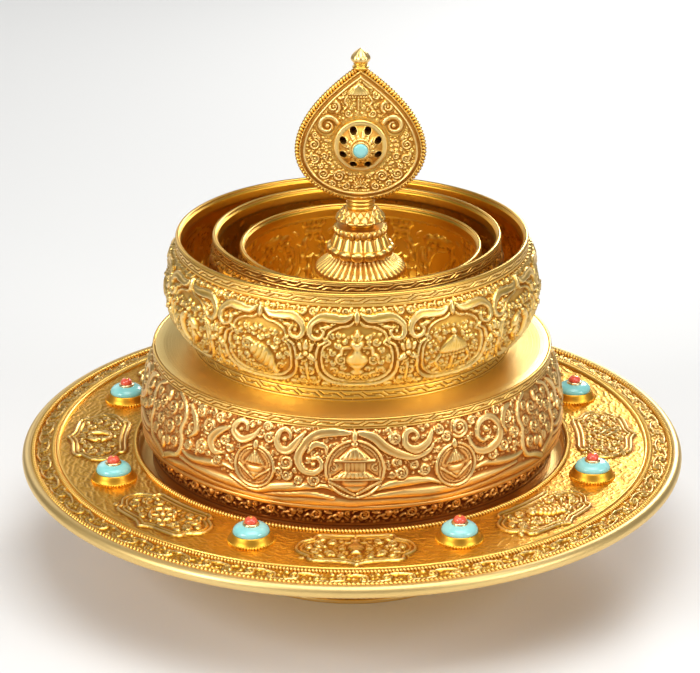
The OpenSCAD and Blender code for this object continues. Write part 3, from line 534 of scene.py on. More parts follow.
def vase(pen):
    """A treasure vase with scarf ends and a jewel."""
    for way in (1, -1):
        lead = pen.at(*curve((way * 2, 7.6), (way * 5.4, 7.4), (way * 6, 4.8)))
        pen.volute(way * 6.0, 2.5, 2.3, 90, -way * 1.4, 1.1, 1.2, lead)
    pen.stroke([(0, -3.5), (0, 10)], (6.0, 4.4, 3.0, 6.4, 8.4, 8.8, 7.6, 4.6, 3.2, 3.4, 5.6, 5.0), 2.0,
               square=True)
    for y in (1.0, 6.9):
        pen.groove([(-3.6, y), (3.6, y)], 0.7, 0.5)
    pen.petal(0, 9.8, 4.4, 0, 2.6, 1.6)
    for angle in (-40, 40):
        pen.petal(0, 9.8, 3.4, angle, 1.7, 1.2)


def conch(pen):
    """A conch lying on its side, with turned ridges."""
    body = curve((-6.5, 7.5), (-3.5, 5.6), (0.5, 2.4), (4.5, -2.0), (7.0, -5.2))
    pen.stroke(body, (1.0, 4.0, 7.4, 9.4, 8.4, 5.0, 1.8), 2.2)
    for k in range(7):
        x, y = 1.5 * k - 4.6, 6.3 - 1.55 * k
        pen.groove(curve((x - 2.0, y - 3.0), (x + 0.9, y - 0.6), (x + 2.6, y + 3.2)), 0.8, 0.5)
    pen.volute(-4.6, 5.4, 2.4, 20, 1.4, 1.0, 2.2)


def parasol(pen):
    """A parasol with a pleated skirt and streamers."""
    pen.stroke([(0, -6.5), (0, 2)], 1.2, 1.2)
    pen.stroke([(0, 2.0), (0, 9.0)], (13.0, 12.6, 11.4, 8.8, 5.0, 1.6), 2.0, square=True)
    for k in range(-4, 5):
        pen.groove([(0.3 * k, 8.4), (1.45 * k, 2.0)], 0.6, 0.45)
    for k in range(-4, 5):
        pen.bead(1.5 * k, 0.9, 0.8, 1.3)
    pen.bead(0, 10.2, 1.3, 1.8)
    for way in (1, -1):
        pen.stroke(curve((way * 6.0, 1.5), (way * 7.6, -1.5), (way * 6.2, -4.0), (way * 7.8, -6.2)), 1.3, 1.1)


def knot(pen):
    """An endless knot: a lattice of crossing bands closed by loops."""
    for d in (-2.7, 0.0, 2.7):
        pen.stroke([(d - 5.4, -2.7 - d), (d + 2.7, 5.4 - d)], 1.35, 1.5, "flat")
    for d in (-2.7, 0.0, 2.7):
        pen.stroke([(5.4 - d, -2.7 - d), (-2.7 - d, 5.4 - d)], 1.35, 1.7, "flat", margin=0.3)
    for angle in (45, 135, 225, 315):
        a = math.radians(angle)
        pen.ring(7.2 * math.cos(a), 7.2 * math.sin(a) - 0.4, 1.8, 1.2, 1.5)
    pen.bead(0, 9.4, 1.2, 1.6)


def fishes(pen):
    """A pair of fishes, nose to nose."""
    for way in (1, -1):
        body = curve((way * 1.2, 8.0), (way * 4.6, 4.0), (way * 4.0, -1.0), (way * 1.2, -5.0))
        pen.stroke(body, (1.0, 3.6, 4.6, 4.4, 3.2, 1.8, 1.2), 1.9)
        for angle in (150, 205):
            pen.petal(way * 1.4, -4.6, 4.2, way * angle, 2.0, 1.3)
        pen.petal(way * 5.6, 2.6, 3.4, way * 130, 1.8, 1.2)
        pen.bead(way * 2.1, 6.4, 0.5, 2.1, clear=0.4)
    pen.bead(0, 9.6, 1.2, 1.6)


def banner(pen):
    """A victory banner of three skirts under a small canopy."""
    for y, w in ((-6.0, 8.0), (-2.2, 8.6), (1.6, 9.2)):
        pen.stroke([(0, y), (0, y + 3.4)], (w, w - 0.6, w - 2.4), 1.7, square=True)
        for k in range(-2, 3):
            pen.groove([(1.5 * k, y - 0.4), (1.2 * k, y + 3.0)], 0.6, 0.4)
    pen.stroke([(0, 5.4), (0, 8.4)], (10.0, 8.0, 2.0), 1.9, square=True)
    pen.petal(0, 8.0, 4.0, 0, 2.4, 1.6)


def wheel_motif(pen):
    """An eight-spoked wheel."""
    pen.ring(0, 1, 6.2, 1.8, 1.8, "flat")
    for k in range(8):
        c, s = math.cos(math.radians(45 * k)), math.sin(math.radians(45 * k))
        pen.stroke([(0, 1), (6 * c, 1 + 6 * s)], (1.6, 0.9), 1.5)
        pen.bead(7.9 * c, 1 + 7.9 * s, 0.8, 1.4)
    pen.bead(0, 1, 1.8, 2.0)


MOTIFS = (vase, parasol, fishes, conch, lotus, wheel_motif, knot, banner)


def ring_sheet(width, height, count):
    """The whole wall of a ring, with a motif over clouds in each bay."""
    sheet = ring_tile(width, height).copies(count)
    for bay in range(count):
        x = (bay + 0.5) * width
        clouds(sheet, x, 11.8, 0.95)
        MOTIFS[bay % len(MOTIFS)](Pen(sheet, x, 18.6, 1.12))
        low, high = (x - 13.4, 11.4), (x + 13.4, 33.5)
        sheet.curls(low, high, 2.6, 1.4, 1.4, 0.25, 40 + bay)
        sheet.granules(low, high, 1.35, 0.68, 1.1, 0.2, 11 + bay)
    return sheet


def pagoda(pen):
    """A two-roofed pagoda on a pointed stand."""
    for y, tall, widths, ribs in ((4.4, 6.6, (16.4, 13.0, 9.6, 6.0, 2.6), 8),
                                  (-3.6, 4.2, (21.4, 17.0, 13.2, 10.6), 11)):
        eaves, ridge = widths[0] / 2, widths[-1] / 2
        pen.stroke([(0, y), (0, y + tall)], widths, 2.5, square=True)
        for k in range(ribs):
            u = 2 * k / (ribs - 1) - 1
            pen.groove([(u * ridge, y + tall - 0.2), (u * eaves, y)], 0.8, 0.8)
        pen.stroke([(-eaves, y), (eaves, y)], 1.1, 2.2)
    pen.stroke([(0, -0.2), (0, 3.6)], 9.0, 1.5, "flat", square=True)
    for k in range(-2, 3):
        pen.groove([(1.7 * k, 0.2), (1.7 * k, 3.4)], 0.6, 0.5)
    pen.stroke([(0, -8.8), (0, -4.2)], (8.0, 11.4, 12.6), 1.6, square=True)
    pen.groove([(-5.4, -6.4), (5.4, -6.4)], 0.7, 0.6)
    pen.bead(0, 11.6, 1.5, 2.6)
    for way in (1, -1):
        pen.stroke([(way * 10.6, -4.6), (0, -10.4)], 1.3, 1.8)
        pen.volute(way * 8.6, 1.4, 1.6, 90, way * 1.2, 0.9, 1.4)


def roundel(sheet, x, y, radius):
    """A double ring, cleared inside."""
    sheet.field(round_path(x, y, radius, 48)[:-1], 0.8, 0.4)
    sheet.ring(x, y, radius - 0.7, 1.4, 2.1)
    sheet.ring(x, y, radius - 2.3, 0.9, 1.4)


def base_sheet(third, height):
    """A third of the base's wall: a pagoda roundel, two smaller ones, ribbons and clouds over waves."""
    sheet = ChasedSheet(third, height, 0.2)
    mid = third / 2

    def path(*points):
        return curve(*points) + (mid, 0)

    # a low swell along the foot, then broad smooth waves with crisp edges
    for points in (((-104, 1.8), (-78, 3.4), (-40, 1.8), (-12, 2.4), (2, 1.8)),
                   ((-2, 1.8), (16, 2.8), (42, 1.8), (72, 3.4), (104, 1.8))):
        sheet.stroke(path(*points), 4.2, 0.9, "round", clear=0)
    for points, widths, h in ((((-92, 7.6), (-80, 6.2), (-60, 5.2), (-38, 4.8), (-20, 5.6), (-8, 4.2)),
                               (1.5, 4.2, 4.8, 4.4, 1.5), 1.4),
                              (((-58, 8.6), (-46, 4.6), (-36, 7.0), (-25, 8.8), (-13, 10.0), (-8, 8.0)),
                               (1.0, 3.0, 4.6, 5.0, 3.6, 1.0), 1.8),
                              (((-90, 12.0), (-82, 9.6), (-72, 10.8), (-62, 12.6), (-56, 11.4)),
                               (1.0, 3.6, 4.6, 3.6, 1.0), 1.7),
                              (((4, 4.6), (20, 5.6), (40, 5.0), (60, 5.8), (84, 7.0)),
                               (1.5, 4.4, 4.8, 4.4, 1.5), 1.4),
                              (((9, 7.6), (15, 9.8), (25, 11.0), (35, 10.8), (41, 8.0)),
                               (1.0, 4.0, 4.8, 4.0, 1.0), 1.8),
                              (((56, 11.0), (64, 12.6), (74, 10.6), (84, 9.8), (92, 12.0)),
                               (1.0, 3.8, 4.6, 3.6, 1.0), 1.7)):
        sheet.stroke(path(*points), widths, h, "round", clear=0.6)
    # curled clouds
    for x, y, r, s, t in ((-43.0, 31.0, 2.5, 100, 1.6), (-38.5, 29.5, 2.6, 60, 1.6),
                          (-40.0, 34.4, 2.2, 200, -1.5), (-17.0, 12.5, 2.6, 160, 1.6),
                          (-72.0, 28.0, 4.0, 240, 1.8), (-62.0, 24.0, 2.6, 60, -1.6),
                          (-75.0, 17.0, 3.4, 100, 1.7), (-65.0, 13.6, 2.2, 30, 1.4),
                          (-58.6, 20.6, 2.0, 150, -1.4), (-30.0, 19.6, 3.4, 200, 1.6),
                          (-29.6, 13.6, 2.4, 20, -1.5), (-24.0, 11.6, 1.8, 120, 1.4),
                          (-33.6, 15.0, 1.9, 300, 1.4), (-78.0, 33.0, 3.0, 60, 1.6),
                          (-82.0, 24.0, 3.6, 20, -1.7), (-66.0, 33.6, 2.6, 330, -1.5),
                          (-84.0, 15.6, 2.6, 200, 1.5), (20.0, 31.5, 3.0, 120, 1.7),
                          (22.0, 15.5, 3.0, 60, -1.6), (33.0, 16.0, 2.7, 200, 1.6),
                          (20.0, 20.4, 2.2, 330, 1.5), (28.0, 18.6, 2.2, 100, -1.4),
                          (45.0, 29.0, 2.5, 30, 1.5), (52.0, 32.0, 4.5, 220, 1.8),
                          (41.6, 32.6, 2.2, 90, -1.4), (59.4, 33.6, 2.2, 20, 1.4),
                          (61.0, 17.0, 2.8, 150, 1.6), (68.6, 15.6, 2.6, 40, -1.5),
                          (76.0, 18.0, 3.2, 120, 1.6), (80.0, 30.0, 3.4, 60, -1.6),
                          (84.0, 22.0, 2.8, 250, 1.5), (74.6, 34.6, 2.2, 100, 1.4)):
        sheet.field(round_path(mid + x, y, r + 0.5, 32)[:-1], 1.0, 0.5)
        sheet.volute(mid + x, y, r, s, t, 0.30 * r + 0.5, 2.1)
    sheet.curls((0, 11.0), (third, height - 1.2), 2.8, 1.4, 1.4, 0.8, 21)
    sheet.granules((0, 10.0), (third, height - 0.6), 1.4, 0.66, 1.0, 0.7, 22)
    # ribbons that sweep out from above the large roundel
    for points, widths in ((((0, 34.6), (-10, 34.6), (-17, 33), (-22, 28), (-24.5, 22), (-22, 17), (-17, 16),
                             (-13.5, 19), (-15, 22.6), (-18, 22.4)),
                            (2.0, 3.8, 4.4, 4.4, 4.0, 3.2, 2.6, 1.8)),
                           (((-20, 25), (-17, 29), (-12, 28), (-11.5, 24.6)), (1.4, 3.2, 2.6, 1.0)),
                           (((-22, 34), (-25, 30), (-29, 25.4), (-33, 25.5), (-35, 29), (-34, 33),
                             (-31.5, 34.5), (-29, 33), (-28.5, 30.4)),
                            (1.6, 3.4, 4.2, 4.0, 3.4, 2.8, 2.0, 1.4)),
                           (((-44, 33), (-47, 29), (-53, 26.5), (-57.5, 30), (-55, 34.5), (-51, 34),
                             (-50.5, 31)), (1.4, 3.4, 4.2, 3.6, 2.6, 1.4)),
                           (((-60, 30.5), (-66, 27), (-69.5, 22), (-67, 17.5), (-62, 18)),
                            (2.0, 4.0, 4.8, 3.6, 1.4)),
                           (((3, 34.6), (10, 32.5), (15, 28), (21, 24.5), (28, 22.5), (35, 24), (38, 27)),
                            (2.4, 4.4, 4.8, 4.4, 3.8, 2.8, 1.4)),
                           (((38, 33), (35, 28), (29.5, 25.5), (25, 28), (25, 33), (28.5, 34.5), (31, 32),
                             (29.5, 29.5)), (1.6, 3.4, 4.0, 3.6, 3.0, 2.2, 1.4)),
                           (((56, 27), (59, 20.4), (66, 18.4), (73, 21.4), (74.4, 28), (70, 33), (63.6, 32),
                             (61, 27.4), (63.6, 23.4), (68, 24)), (1.4, 3.4, 4.2, 4.2, 3.6, 3.0, 2.4, 1.8)),
                           (((84, 35), (79, 33), (77, 28), (79, 23.4)), (1.6, 3.6, 3.2, 1.2)),
                           (((-86, 34), (-81, 29), (-80, 23), (-84, 19)), (1.6, 3.6, 3.2, 1.2))):
        sheet.stroke(path(*points), widths, 2.5, "ribbon")
    for x, y, r in ((-17.5, 19.8, 1.2), (-31.5, 30.0, 1.3), (-53.6, 31.0, 1.2), (28.6, 30.6, 1.2),
                    (72.0, 27.0, 1.0), (67.0, 27.6, 1.4)):
        sheet.bead(mid + x, y, r, 2.4)
    # roundels, each with its building
    for dx, r in ((-45.3, 10.3), (48.5, 10.5)):
        x = mid + dx
        roundel(sheet, x, 15.5, r)
        sheet.stroke([(x, 16.6), (x, 22.6)], (11.6, 10.0, 6.0, 2.4), 2.0, square=True)
        for k in range(-3, 4):
            sheet.groove([(x + 0.5 * k, 22.2), (x + 1.8 * k, 16.6)], 0.8, 0.8)
        sheet.stroke([(x, 9.6), (x, 15.0)], (4.0, 8.0, 9.6), 1.6, square=True)
        sheet.groove([(x - 4.0, 13.0), (x + 4.0, 13.0)], 0.7, 0.6)
        for side in (1, -1):
            sheet.stroke([(x + side * 7.8, 15.2), (x, 9.4)], 1.2, 1.8)
        sheet.petal(x, 23.4, 4.4, 0, 3.2, 2.5)
    roundel(sheet, mid + 1.3, 18.0, 13.8)
    pagoda(Pen(sheet, mid + 1.3, 17.2, 1.08))
    sheet.petal(mid + 1.3, 30.2, 6.2, 0, 3.0, 2.6)
    # the panel at the third's ends: a broad strap round a filled heart
    panel = curve((0, 2.6), (6.0, 5.6), (12.6, 8.0), (15.4, 14.0), (14.0, 20.6), (16.0, 27.0), (14.0, 32.6),
                  (8.0, 36.4))
    outline = np.concatenate([panel, panel[::-1] * (-1, 1)])
    sheet.field(outline, 0.5, 0.5)
    for way in (1, -1):
        sheet.stroke(panel * (way, 1), (3.2, 2.8, 2.6, 2.4, 2.2), 2.0, "ribbon")
        for dx, y, r in ((4.4, 28.5, 3.4), (4.4, 19.4, 3.2), (3.4, 12.0, 2.2), (10.4, 24.0, 2.6),
                         (9.0, 13.4, 2.8), (10.0, 31.4, 2.2)):
            sheet.volute(way * dx, y, r, 270, way * 1.5, 1.3, 1.7)
    sheet.petal(0, 7.0, 6.0, 0, 3.6, 2.0)
    sheet.petal(0, 30.0, 5.4, 0, 3.4, 2.0)
    sheet.curls((-13, 8), (13, 35), 2.9, 1.4, 1.3, 0.7, 31)
    sheet.granules((-14, 6), (14, 36), 1.4, 0.66, 1.0, 0.7, 32)
    return sheet


def vine_border(waves, unit, height):
    """A vine along a border: leafy scrolls that turn up and down by turns."""
    sheet = ChasedSheet(waves * unit, height, 0.2)
    shuffle = np.random.default_rng(6)
    middle = height / 2
    for k in range(waves):
        for dx, way in ((0.25, -1), (0.75, 1)):
            x, y = (k + dx) * unit, middle + way * 0.08 * height
            lead = curve((x - 0.42 * unit, middle - way * 0.30 * height),
                         (x - 0.22 * unit, middle - way * 0.34 * height), (x, y - way * 0.30 * height))
            sheet.volute(x, y, 0.30 * height, -90 * way, way * (1.4 + shuffle.uniform(-0.2, 0.2)), 0.95, 1.2,
                         lead)
            for turn, place, long in ((55, 0.10, 2.8), (100, 0.14, 2.4), (15, 0.20, 2.4), (-50, -0.14, 2.6)):
                sheet.petal(x + place * unit, y + way * 0.20 * height, long, turn if way > 0 else 180 - turn,
                            1.5, 1.05)
    sheet.curls((0, 0.9), (waves * unit, height - 0.9), 1.9, 0.95, 0.9, 0.2, 7)
    sheet.granules((0, 0.5), (waves * unit, height - 0.5), 1.2, 0.55, 0.6, 0.15, 8)
    return sheet


def lobed_outline(x, y, inset):
    """A deck cartouche: round end lobes, notched corners, a point towards the rim."""
    half = curve((0, -16.4), (2.4, -14.6), (6.0, -13.4), (12.0, -13.2), (17.6, -13.0), (20.2, -11.6),
                 (20.4, -9.2), (22.6, -7.6), (26.2, -4.6), (27.4, 0.0), (26.2, 4.6), (22.6, 7.6), (20.4, 9.2),
                 (20.2, 11.6), (17.6, 13.0), (9.0, 13.2), (0, 13.2), count=6)
    half = half * ((27.4 - inset) / 27.4, (13.2 - inset) / 13.2) + (x, y)
    return np.concatenate([half, mirrored(half, x)[::-1][1:-1]])


def deck_sheet(bay, height, bays):
    """The tray's deck: a combed ground, and in each bay a lobed cartouche with a motif among leaves."""
    sheet = ChasedSheet(bay * bays, height, 0.25)
    shuffle = np.random.default_rng(4)
    for k in range(bays):
        for y in np.arange(1.2, height - 0.8, 1.3):
            for part in range(11):
                x = (k + (part + shuffle.uniform(0.1, 0.9)) / 11) * bay
                size, lift = shuffle.uniform(2, 4.4), shuffle.uniform(0.4, 1.2)
                path = curve((x - size, y), (x - 0.5 * size, y + lift), (x, y), (x + 0.5 * size, y - lift),
                             (x + size, y), count=5)
                sheet.stroke(path, (0.3, 0.8, 0.9, 0.8, 0.3), shuffle.uniform(0.15, 0.34), clear=0.5)
        for part in range(34):
            x, y = (k + shuffle.uniform(0, 1)) * bay, shuffle.uniform(2.0, height - 2.0)
            sheet.volute(x, y, shuffle.uniform(0.9, 1.7), shuffle.uniform(0, 360),
                         shuffle.choice((-1, 1)) * 1.2, 0.6, 0.3)
    for k in range(bays):
        x, y = (k + 0.5) * bay, 0.545 * height
        sheet.field(lobed_outline(x, y, 0.0), 0.35, 1.2)
        for inset, wide, high in ((0.6, 1.2, 1.25), (2.8, 0.9, 1.15)):
            line = lobed_outline(x, y, inset)
            sheet.stroke(np.concatenate([line, line[:1]]), wide, high, clear=0.3)
        for way in (1, -1):
            for dx, dy, r, s, t in ((17.0, 3.4, 2.8, 200, 1.5), (17.6, -4.0, 2.5, 160, -1.5),
                                    (11.4, -5.8, 2.3, 30, 1.4), (11.0, 6.2, 2.3, 330, -1.4),
                                    (21.4, -0.2, 1.7, 90, 1.3), (6.2, -7.6, 1.7, 200, 1.3)):
                sheet.volute(x + way * dx, y + dy, r, s if way > 0 else 180 - s, t * way, 1.1, 1.5)
            for dx, dy, long, turn in ((8.4, -7.4, 4.2, 70), (13.0, 0.4, 4.4, 60), (14.2, 8.2, 3.6, 110),
                                       (13.6, -8.4, 3.8, 80)):
                sheet.petal(x + way * dx, y + dy, long, way * turn, 1.8, 1.45)
        MOTIFS[3 * k % len(MOTIFS)](Pen(sheet, x, y - 2.0, 0.96))
        low, high = (x - 22.5, y - 9.6), (x + 22.5, y + 9.6)
        sheet.curls(low, high, 2.7, 1.35, 1.15, 0.75, 60 + k)
        sheet.granules(low, high, 1.5, 0.72, 1.0, 0.7, 80 + k)
    return sheet


def fringe_sheet(units, unit, height):
    """The base's fringe: a spiral, a bead and a knob in each unit, among wavy leaves, over a plain strip."""
    sheet = ChasedSheet(units * unit, height, 0.2)
    y = height - 4.2
    for k in range(units):
        x = k * unit
        for dx in (0.0, 0.5):
            sheet.stroke(curve((x + dx * unit, y - 2.0), (x + (dx + 0.10) * unit, y - 0.4),
                               (x + (dx + 0.2) * unit, y - 2.2), (x + (dx + 0.32) * unit, y - 0.6),
                               (x + (dx + 0.42) * unit, y - 2.2)), (0.6, 1.2, 1.2, 1.2, 0.6), 1.0)
        sheet.stroke(curve((x + 0.02 * unit, y + 1.0), (x + 0.10 * unit, y + 2.6),
                           (x + 0.22 * unit, y + 2.8)), (0.6, 1.4, 0.8), 1.3)
        sheet.volute(x + 0.25 * unit, y + 0.2, 2.5, 90, -1.5, 1.1, 1.5)
        sheet.petal(x + 0.42 * unit, y + 1.4, 4.0, 100, 1.6, 1.1)
        sheet.bead(x + 0.76 * unit, y + 0.6, 1.9, 1.6)
        sheet.volute(x + 0.92 * unit, y + 0.8, 1.5, 60, 1.3, 0.8, 1.2)
        sheet.petal(x + 0.60 * unit, y - 1.0, 3.2, 60, 1.6, 1.1)
    for line in (height - 8.2, height - 9.8):
        sheet.groove([(0, line), (units * unit, line)], 0.6, 0.5)
    sheet.granules((0, height - 7.4), (units * unit, height - 1.0), 1.3, 0.55, 0.6, 0.2, 14)
    return sheet


def leaf_sheet(wide, tall, x0, y0, edge, wheel_y):
    """The finial leaf's face: a rim inside a groove, a parasol over scrolls, leaves round the wheel."""
    sheet = ChasedSheet(wide, tall, 0.15)
    for way in (1, -1):
        for dx, dy, r, s, t, w in ((5.6, 17.4, 1.8, 200, 1.4, 0.9), (7.2, 26.6, 1.6, 60, 1.4, 0.8),
                                   (21.6, 2.4, 2.5, 100, 1.5, 1.0), (21.4, -4.4, 2.3, 300, -1.5, 1.0),
                                   (17.2, -11.8, 2.6, 200, 1.5, 1.1), (10.0, -12.9, 2.8, 160, -1.6, 1.2),
                                   (7.0, -18.0, 2.0, 100, 1.4, 0.9), (16.6, -3.4, 1.7, 30, 1.3, 0.8),
                                   (21.0, 7.2, 1.5, 210, 1.3, 0.8), (13.2, -17.0, 1.8, 40, 1.4, 0.8),
                                   (4.6, 31.2, 1.3, 80, 1.3, 0.7), (18.8, -8.0, 1.4, 120, 1.3, 0.7),
                                   (17.2, 18.4, 1.6, 120, 1.4, 0.8), (11.4, 26.6, 1.3, 20, 1.3, 0.7)):
            sheet.volute(x0 + way * dx, y0 + dy, r, s if way > 0 else 180 - s, t * way, w, 1.15)
        for dx, dy, long, turn in ((22.8, -1.4, 3.0, 170), (15.2, -14.8, 3.0, 130), (4.2, -12.6, 2.6, 60),
                                   (14.4, 3.8, 2.6, 70), (13.0, -7.6, 3.0, 60), (19.0, 4.4, 2.8, 20)):
            sheet.petal(x0 + way * dx, y0 + dy, long, way * turn, 1.6, 1.05)
    lotus(Pen(sheet, x0, y0 - 17.6, 0.5))
    sheet.curls((2, 2), (wide - 2, tall - 2), 1.9, 0.95, 0.9, 0.2, 17)
    sheet.granules((1, 1), (wide - 1, tall - 1), 1.0, 0.46, 0.7, 0.18, 18)
    for way in (1, -1):
        # pale scrolls with broad bands at the shoulders
        for dx, dy, r, s, t, w in ((12.6, 21.0, 3.1, 240, -1.35, 1.9), (15.4, 11.8, 4.9, 165, -1.2, 2.6)):
            sheet.field(round_path(x0 + way * dx, y0 + dy, r + 0.8, 32)[:-1], 0.5, 0.5)
            sheet.volute(x0 + way * dx, y0 + dy, r, s if way > 0 else 180 - s, t * way, w, 1.9)
    # a parasol with ribbons on both sides
    parasol(Pen(sheet, x0 - 1.0, y0 + 24.6, 0.84))
    for way in (1, -1):
        sheet.stroke(curve((2.0, 33.0), (4.4, 30.4), (7.6, 29.4), (9.8, 27.0), (8.6, 24.6),
                           (6.8, 25.4)) * (way, 1) + (x0 - 1.0, y0), (0.6, 1.3, 1.5, 1.3, 0.7), 1.3)
    # a groove inside the wire, darkened partly as patina and partly as painted shade, a narrow plain rim, and
    # another groove round the wheel
    groove, rim = (np.concatenate([e, e[:1]]) for e in edge)
    sheet.stroke(rim, 1.5, 0.9, "flat", clear=1.0)
    sheet.stroke(groove, 1.1, 0.0, "flat", clear=1.0)
    sheet.groove(groove, 1.1, 0.7)
    sheet.ring(x0, wheel_y, 13.3, 1.3, 0.0)
    return sheet


def wheel_sheet(wide, openings):
    """The wheel's face: a smooth rim, petals from the hub and a ring round each opening."""
    sheet = ChasedSheet(wide, wide, 0.12)
    mid, rim = wide / 2, wide / 2 - 1.2
    for k in range(2 * openings):
        turn = 180 * (k + 0.5) / openings
        c, s = math.cos(math.radians(turn)), math.sin(math.radians(turn))
        if k % 2:
            sheet.petal(mid + 5.0 * c, mid + 5.0 * s, 4.6, 90 - turn, 2.4, 0.9)
        else:
            sheet.petal(mid + 4.6 * c, mid + 4.6 * s, 2.6, 90 - turn, 1.8, 0.8)
    for k in range(openings):
        turn = math.radians(360 * (k + 0.5) / openings)
        sheet.ring(mid + 8.8 * math.cos(turn), mid + 8.8 * math.sin(turn), 1.85, 0.6, 0.7)
    sheet.ring(mid, mid, rim - 1.3, 2.6, 1.0)
    sheet.ring(mid, mid, 4.9, 0.9, 0.6)
    return sheet


def petal_row(count, length, height, top, long, wide, high):
    """A row of petals that hang from a line round a bell, each as wide as a share of its place."""
    sheet = ChasedSheet(length, height, 0.15)
    unit = length / count
    for k in range(count):
        x = k * unit
        sheet.stroke([(x, top), (x, top - 0.5 * long), (x, top - long)],
                     np.array((0.7, 0.85, 0.95, 1.0, 1.0)) * wide * unit, high, "round", margin=0.35)
    return sheet


def knop_sheet(count, length, height, edge):
    """Leaf scales that rise from the knop's edge, over plain metal below it."""
    sheet = ChasedSheet(length, height, 0.12)
    unit = length / count
    for row, (low, long) in enumerate(((height - 3.4, 3.0), (edge + 0.3, 3.6))):
        for k in range(count):
            sheet.petal((k + 0.5 * row) * unit, low, long, 0, 0.95 * unit, 0.9)
    for way in (0, 1):
        sheet.stroke([(way * length / 2, edge), ((way + 1) * length / 2, edge)], 0.8, 0.6, clear=0)
    return sheet


def running_fret(units, unit, height, lean, low, high):
    """A running fret cut between two edge lines: pairs of lines that step up by a slant."""
    sheet = ChasedSheet(units * unit, height, 0.12)
    sheet.relief += 0.5
    for edge in (low, high):
        sheet.groove([(0, edge), (units * unit, edge)], 0.55, 0.5)
    middle, step, gap = (low + high) / 2, 0.20 * (high - low), 0.115 * (high - low)
    for k in range(units):
        for side in (-1, 1):
            line = [(-0.56, -step), (-0.12 + 0.09 * side, -step), (0.12 + 0.09 * side, step), (0.56, step)]
            line = np.array(line) * (lean * unit, 1) + ((k + 0.5) * unit, middle - side * gap)
            sheet.groove(line[1:3], 0.72, 0.5)
            sheet.groove(line[:2] if side < 0 else line[2:], 0.6, 0.5)
    sheet.relief = np.maximum(sheet.relief, 0.0)
    return sheet


def drop_selection():
    """Leaves edit mode and selects nothing."""
    if bpy.context.object and bpy.context.object.mode != "OBJECT":
        bpy.ops.object.mode_set(mode="OBJECT")
    bpy.ops.object.select_all(action="DESELECT")


def spaced(points, pitch):
    """A profile with points added so that no step is longer than the pitch."""
    points = np.asarray(points, float)
    out = [points[:1]]
    for a, b in zip(points[:-1], points[1:]):
        parts = max(1, math.ceil(math.hypot(*(b - a)) / pitch - 1e-6))
        out.append(a + (b - a) * (np.arange(1, parts + 1) / parts)[:, None])
    return np.concatenate(out)


def even(points, pitch):
    """A profile laid out again in even steps of about the pitch."""
    points = np.asarray(points, float)
    along = np.concatenate([[0], np.cumsum(np.hypot(*np.diff(points, axis=0).T))])
    stops = np.linspace(0, along[-1], max(2, round(along[-1] / pitch) + 1))
    return np.stack([np.interp(stops, along, points[:, k]) for k in (0, 1)], 1)


def outward(profile):
    """The direction, in the plane of a profile, that its worked side faces: right of the way it runs."""
    ahead = np.gradient(profile, axis=0)
    ahead /= np.maximum(np.hypot(*ahead.T), 1e-9)[:, None]
    return np.stack([ahead[:, 1], -ahead[:, 0]], 1)


def wrapped_grid(name, cols, rows, place):
    """Adds a grid of cols by rows faces and bends it to place, which gives each corner's x, y, z in
    millimetres and how far it stands over the work around it. Edges that meet are merged, and faces are
    turned outwards."""
    drop_selection()
    bpy.ops.mesh.primitive_grid_add(x_subdivisions=cols, y_subdivisions=rows, size=1.0, calc_uvs=True)
    piece = bpy.context.object
    piece.name = piece.data.name = name
    mesh = piece.data
    flat = np.empty(len(mesh.vertices) * 3)
    mesh.vertices.foreach_get("co", flat)
    flat = flat.reshape(-1, 3)
    col = np.rint((flat[:, 0] + 0.5) * cols).astype(int)
    row = np.rint((flat[:, 1] + 0.5) * rows).astype(int)
    spots, chase = place(col, row)
    mesh.vertices.foreach_set("co", (np.asarray(spots, float) * MM).ravel())
    # chase carries the height over the work around; the gilt finishes turn it into rubbed crests and into
    # hollows darkened partly as patina and partly as painted shade
    mesh.attributes.new("chase", "FLOAT", "POINT").data.foreach_set("value", np.asarray(chase, np.float32))
    mesh.uv_layers[0].name = "OFBake"
    bpy.ops.object.mode_set(mode="EDIT")
    bpy.ops.mesh.select_all(action="SELECT")
    bpy.ops.mesh.remove_doubles(threshold=SMALL)
    bpy.ops.object.mode_set(mode="OBJECT")
    if enclosed(mesh) < 0:
        bpy.ops.object.mode_set(mode="EDIT")
        bpy.ops.mesh.select_all(action="SELECT")
        bpy.ops.mesh.flip_normals()
        bpy.ops.object.mode_set(mode="OBJECT")
    bpy.ops.object.shade_smooth()
    return piece


def enclosed(mesh):
    """Volume inside a closed mesh, negative where its faces point inwards."""
    mesh.calc_loop_triangles()
    spots = np.empty(len(mesh.vertices) * 3)
    mesh.vertices.foreach_get("co", spots)
    corners = np.empty(len(mesh.loop_triangles) * 3, np.int32)
    mesh.loop_triangles.foreach_get("vertices", corners)
    a, b, c = spots.reshape(-1, 3)[corners.reshape(-1, 3)].transpose(1, 0, 2)
    return (a * np.cross(b, c)).sum() / 6


class Work:
    """A chased sheet laid on a profile: where it starts round the piece and how high it stands."""

    def __init__(self, sheet, start=0.0, strength=1.0, blur=0.0, reach=1.3, tone=1.0):
        self.sheet = sheet
        self.start = start
        self.strength = strength
        self.relief = sheet.soften(sheet.relief, blur) if blur else sheet.relief
        around = sheet.soften(self.relief, reach)
        # over, scaled by tone, is darkened by the gilt finishes in hollows, partly as patina and partly as
        # painted shade, and brightened on crests
        self.over = (self.relief - around) * (tone if strength > 0 else -tone)

    def at(self, turn, y):
        """Height and height over the work around it, at turns in degrees and places up the sheet."""
        x = np.mod(turn - self.start, 360.0) / 360.0 * self.sheet.length
        return (self.strength * self.sheet.sample(self.relief, x, y), self.sheet.sample(self.over, x, y))


